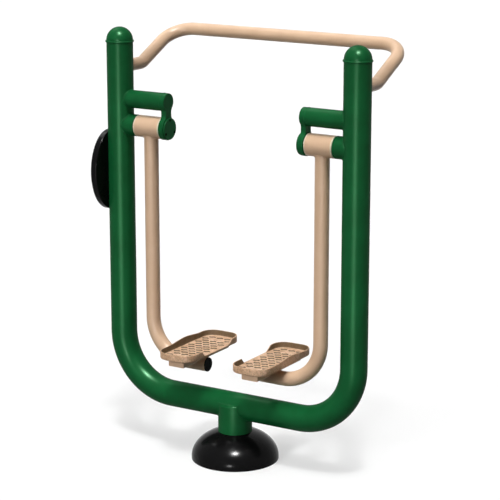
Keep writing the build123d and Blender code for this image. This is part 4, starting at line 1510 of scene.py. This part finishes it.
    def tread_places(self) -> list[Place]:
        """Places of the treads: staggered rows that leave the bolts free.

        Returns:
            The middle of each tread, at the floor.
        """
        found = []
        for row in range(self.tread_rows):
            y = (row - (self.tread_rows - 1) / 2) * self.tread_pitch[1]
            columns = self.tread_columns - 1 + row % 2
            for column in range(columns):
                x = (column - (columns - 1) / 2) * self.tread_pitch[0]
                if math.hypot(abs(x) - self.bolt_x, abs(y) - self.bolt_y) > self.bolt_clear:
                    found.append(self.place(x, y, self.floor))
        return found


LAMP_DISTANCE = 5.0  # metres; a far lamp lights the same from any distance


@dataclass(frozen=True)
class Lamp:
    """A far lamp, told by its direction from the object.

    Attributes:
        name: the lamp's name.
        azimuth: degrees from the front, -Y, towards +X.
        elevation: degrees above the ground.
        strength: light on a surface that faces the lamp.
        spread: how wide the lamp looks from the object, in degrees.
        mirrored: whether glossy surfaces mirror it.
        lit: whether it lights matt surfaces.
    """

    name: str
    azimuth: float
    elevation: float
    strength: float
    spread: float
    mirrored: bool = True
    lit: bool = True

    def away(self) -> Vector:
        """Work out the way to the lamp.

        Returns:
            Unit vector from the object towards the lamp.
        """
        turn, rise = math.radians(self.azimuth), math.radians(self.elevation)
        flat = math.cos(rise)
        return Vector((math.sin(turn) * flat, -math.cos(turn) * flat, math.sin(rise)))

    def hang(self) -> None:
        """Hang the lamp."""
        light = bpy.data.lights.new(self.name, "SUN")
        light.energy = self.strength
        light.angle = math.radians(self.spread)
        holder = place_light(light, self.away() * LAMP_DISTANCE, self.away())
        holder.visible_glossy = self.mirrored
        holder.visible_diffuse = self.lit


@dataclass(frozen=True)
class Strip:
    """A dim strip that is only mirrored: it draws a soft band down a post or the pedestal.

    Attributes:
        name: the light's name.
        x: place across the machine of the tube that mirrors it.
        distance: how far it stands from that tube.
        width: width of its face.
        height: height of its face.
        power: its power in watts.
        azimuth: degrees from the front, -Y, towards +X, as seen from the tube.
        lift: height of its lower edge.
        lean: degrees by which it faces upwards, so that the tube mirrors it to the camera.
        beam: degrees across its beam, which leaves out the rest of the machine.
    """

    name: str
    x: float
    distance: float = 1.2
    width: float = 0.6
    height: float = 1.1
    power: float = 1.35
    azimuth: float = 16.0
    lift: float = 0.02
    lean: float = 13.8
    beam: float = 44.0

    def stand(self) -> None:
        """Stand the light in its place, facing its tube."""
        light = bpy.data.lights.new(self.name, "AREA")
        light.shape = "RECTANGLE"
        light.size = self.width
        light.size_y = self.height
        light.spread = math.radians(self.beam)
        light.energy = self.power
        turn, lean = math.radians(self.azimuth), math.radians(self.lean)
        flat = Vector((math.sin(turn), -math.cos(turn), 0.0))
        middle = self.lift + self.height / 2 * math.cos(lean)
        place = Vector((self.x, 0.0, middle)) + flat * self.distance
        away = flat * math.cos(lean) - Vector((0.0, 0.0, math.sin(lean)))
        place_light(light, place, away).visible_diffuse = False


def place_light(light: bpy.types.Light, place: Vector, away: Vector) -> bpy.types.Object:
    """Put a light in its place, shining back along a direction, unseen by the camera.

    Args:
        light: the light.
        place: where it goes.
        away: direction from the object to the light.

    Returns:
        The object that holds the light.
    """
    holder = bpy.data.objects.new(light.name, light)
    holder.location = place
    holder.rotation_mode = "QUATERNION"
    holder.rotation_quaternion = away.to_track_quat("Z", "Y")
    holder.visible_camera = False
    bpy.context.scene.collection.objects.link(holder)
    return holder


@dataclass
class Studio:
    """The pale floor, the soft light and the camera.

    Attributes:
        eye: place of the camera.
        ahead: direction that it looks in.
        lens: focal length in millimetres.
        sensor: width of the square sensor behind it, in millimetres.
        view_end: how far the camera sees.
        floor_half: half the size of the floor.
        floor_seen: colour of the paper where it is seen or mirrored, sRGB hex.
        floor_bounce: colour that it lends to the light that it throws back, sRGB hex.
        floor_lift: light that the paper adds where it is seen or mirrored.
        ambient: strength of the world as a light.
        lamps: the far lamps.
        strips: the mirrored strips.
    """

    eye: Place = (3.176, -5.117, 2.197)
    ahead: Place = (-0.5053, 0.8294, -0.2383)
    lens: float = 135.9
    sensor: float = 36.0
    view_end: float = 200.0
    floor_half: float = 60.0
    floor_seen: str = "BCBCBC"
    floor_bounce: str = "444444"
    floor_lift: float = 0.5
    ambient: float = 0.03
    lamps: tuple[Lamp, ...] = (
        Lamp("key_softbox", 31.0, 75.0, 1.0, 24.0),
        Lamp("key_bulb", 31.0, 68.0, 0.95, 6.0),
        Lamp("overhead_cloth", -60.0, 75.0, 0.8, 90.0, mirrored=False),
        Lamp("front_wash", -3.0, 22.0, 1.5, 20.0, mirrored=False),
        Lamp("high_sparkle", 31.0, 64.5, 13.0, 11.0, lit=False),
        Lamp("low_sparkle", 17.0, 1.0, 2.6, 11.0, lit=False),
        Lamp("back_sparkle", -112.0, 57.0, 1.1, 30.0, lit=False),
        Lamp("back_fill", 211.0, 25.0, 0.5, 60.0, mirrored=False),
    )
    strips: tuple[Strip, ...] = (
        Strip("left_strip_light", -POST_X),
        Strip("right_strip_light", POST_X),
        Strip("foot_strip_light", 0.0, distance=0.45, width=0.22, height=0.1, power=0.05),
    )

    def build(self) -> None:
        """Lay the floor, light it and place the camera."""
        self.lay_floor()
        self.light_world()
        for lamp in self.lamps:
            lamp.hang()
        for strip in self.strips:
            strip.stand()
        lens = bpy.data.cameras.new("camera")
        lens.lens = self.lens
        lens.sensor_width = self.sensor
        lens.clip_end = self.view_end
        camera = bpy.data.objects.new("camera", lens)
        camera.location = self.eye
        camera.rotation_mode = "QUATERNION"
        camera.rotation_quaternion = Vector(self.ahead).to_track_quat("-Z", "Y")
        bpy.context.scene.collection.objects.link(camera)
        bpy.context.scene.camera = camera
        bpy.context.scene.view_settings.view_transform = "Standard"
        LOG.info("lit by %d lamps and %d strips", len(self.lamps), len(self.strips))

    @staticmethod
    def seen(tree: bpy.types.NodeTree) -> bpy.types.NodeSocket:
        """Whether a ray comes from the camera, a reflection or through glass.

        Args:
            tree: the tree that asks.

        Returns:
            1 for such a ray and 0 for any other.
        """
        path = add_node(tree, "ShaderNodeLightPath").outputs
        either = add_node(
            tree, "ShaderNodeMath", {"operation": "MAXIMUM"},
            {0: path["Is Camera Ray"], 1: path["Is Glossy Ray"]},
        )
        return add_node(
            tree, "ShaderNodeMath", {"operation": "MAXIMUM"},
            {0: either.outputs["Value"], 1: path["Is Transmission Ray"]},
        ).outputs["Value"]

    def lay_floor(self) -> None:
        """Lay the floor, which looks white, keeps the shadow and throws little light back."""
        half = self.floor_half
        corners = [(-half, -half, 0), (half, -half, 0), (half, half, 0), (-half, half, 0)]
        mesh = bpy.data.meshes.new("studio_floor")
        mesh.from_pydata(corners, [], [(0, 1, 2, 3)])
        floor = new_object("studio_floor", mesh)
        paper = bpy.data.materials.new("matt_white_backdrop_paper")
        paper.use_nodes = True
        tree = paper.node_tree
        tree.nodes.clear()
        bounce = add_node(tree, "ShaderNodeBsdfDiffuse", {"Color": linear(self.floor_bounce)})
        matt = add_node(tree, "ShaderNodeBsdfDiffuse", {"Color": linear(self.floor_seen)})
        glow = add_node(tree, "ShaderNodeEmission", {"Strength": self.floor_lift})
        pale = add_node(
            tree, "ShaderNodeAddShader", {}, {0: matt.outputs["BSDF"], 1: glow.outputs["Emission"]}
        )
        both = add_node(
            tree, "ShaderNodeMixShader", {},
            {0: self.seen(tree), 1: bounce.outputs["BSDF"], 2: pale.outputs["Shader"]},
        )
        add_node(tree, "ShaderNodeOutputMaterial", {}, {"Surface": both.outputs["Shader"]})
        mesh.materials.append(paper)

    def light_world(self) -> None:
        """Light the world evenly; rays that see it find it white."""
        world = bpy.data.worlds.new("white_studio")
        bpy.context.scene.world = world
        world.use_nodes = True
        tree = world.node_tree
        tree.nodes.clear()
        level = add_node(
            tree, "ShaderNodeMapRange", {"To Min": self.ambient, "To Max": 1.0}, {"Value": self.seen(tree)}
        )
        sky = add_node(
            tree, "ShaderNodeBackground", {"Color": (1, 1, 1, 1)}, {"Strength": level.outputs["Result"]}
        )
        add_node(tree, "ShaderNodeOutputWorld", {}, {"Surface": sky.outputs["Background"]})


def main() -> None:
    """Build the air walker on its frame and light it."""
    logging.basicConfig(level=logging.INFO, format="%(name)s: %(message)s")
    bench = Bench(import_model())
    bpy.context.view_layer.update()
    trees = Trees()
    welds = WeldGun(trees, bench)
    GroundFoot(bench, welds).build()
    UFrame(bench, trees).build()
    Handlebar(bench, trees, welds).build()
    SignPlate(bench).build()
    for side in Side:
        PivotMount(bench, welds, side).build()
        SwingLeg(bench, trees, welds, side).build()
        FootPedal(bench, trees, side).build()
    Studio().build()


if __name__ == "__main__":
    main()
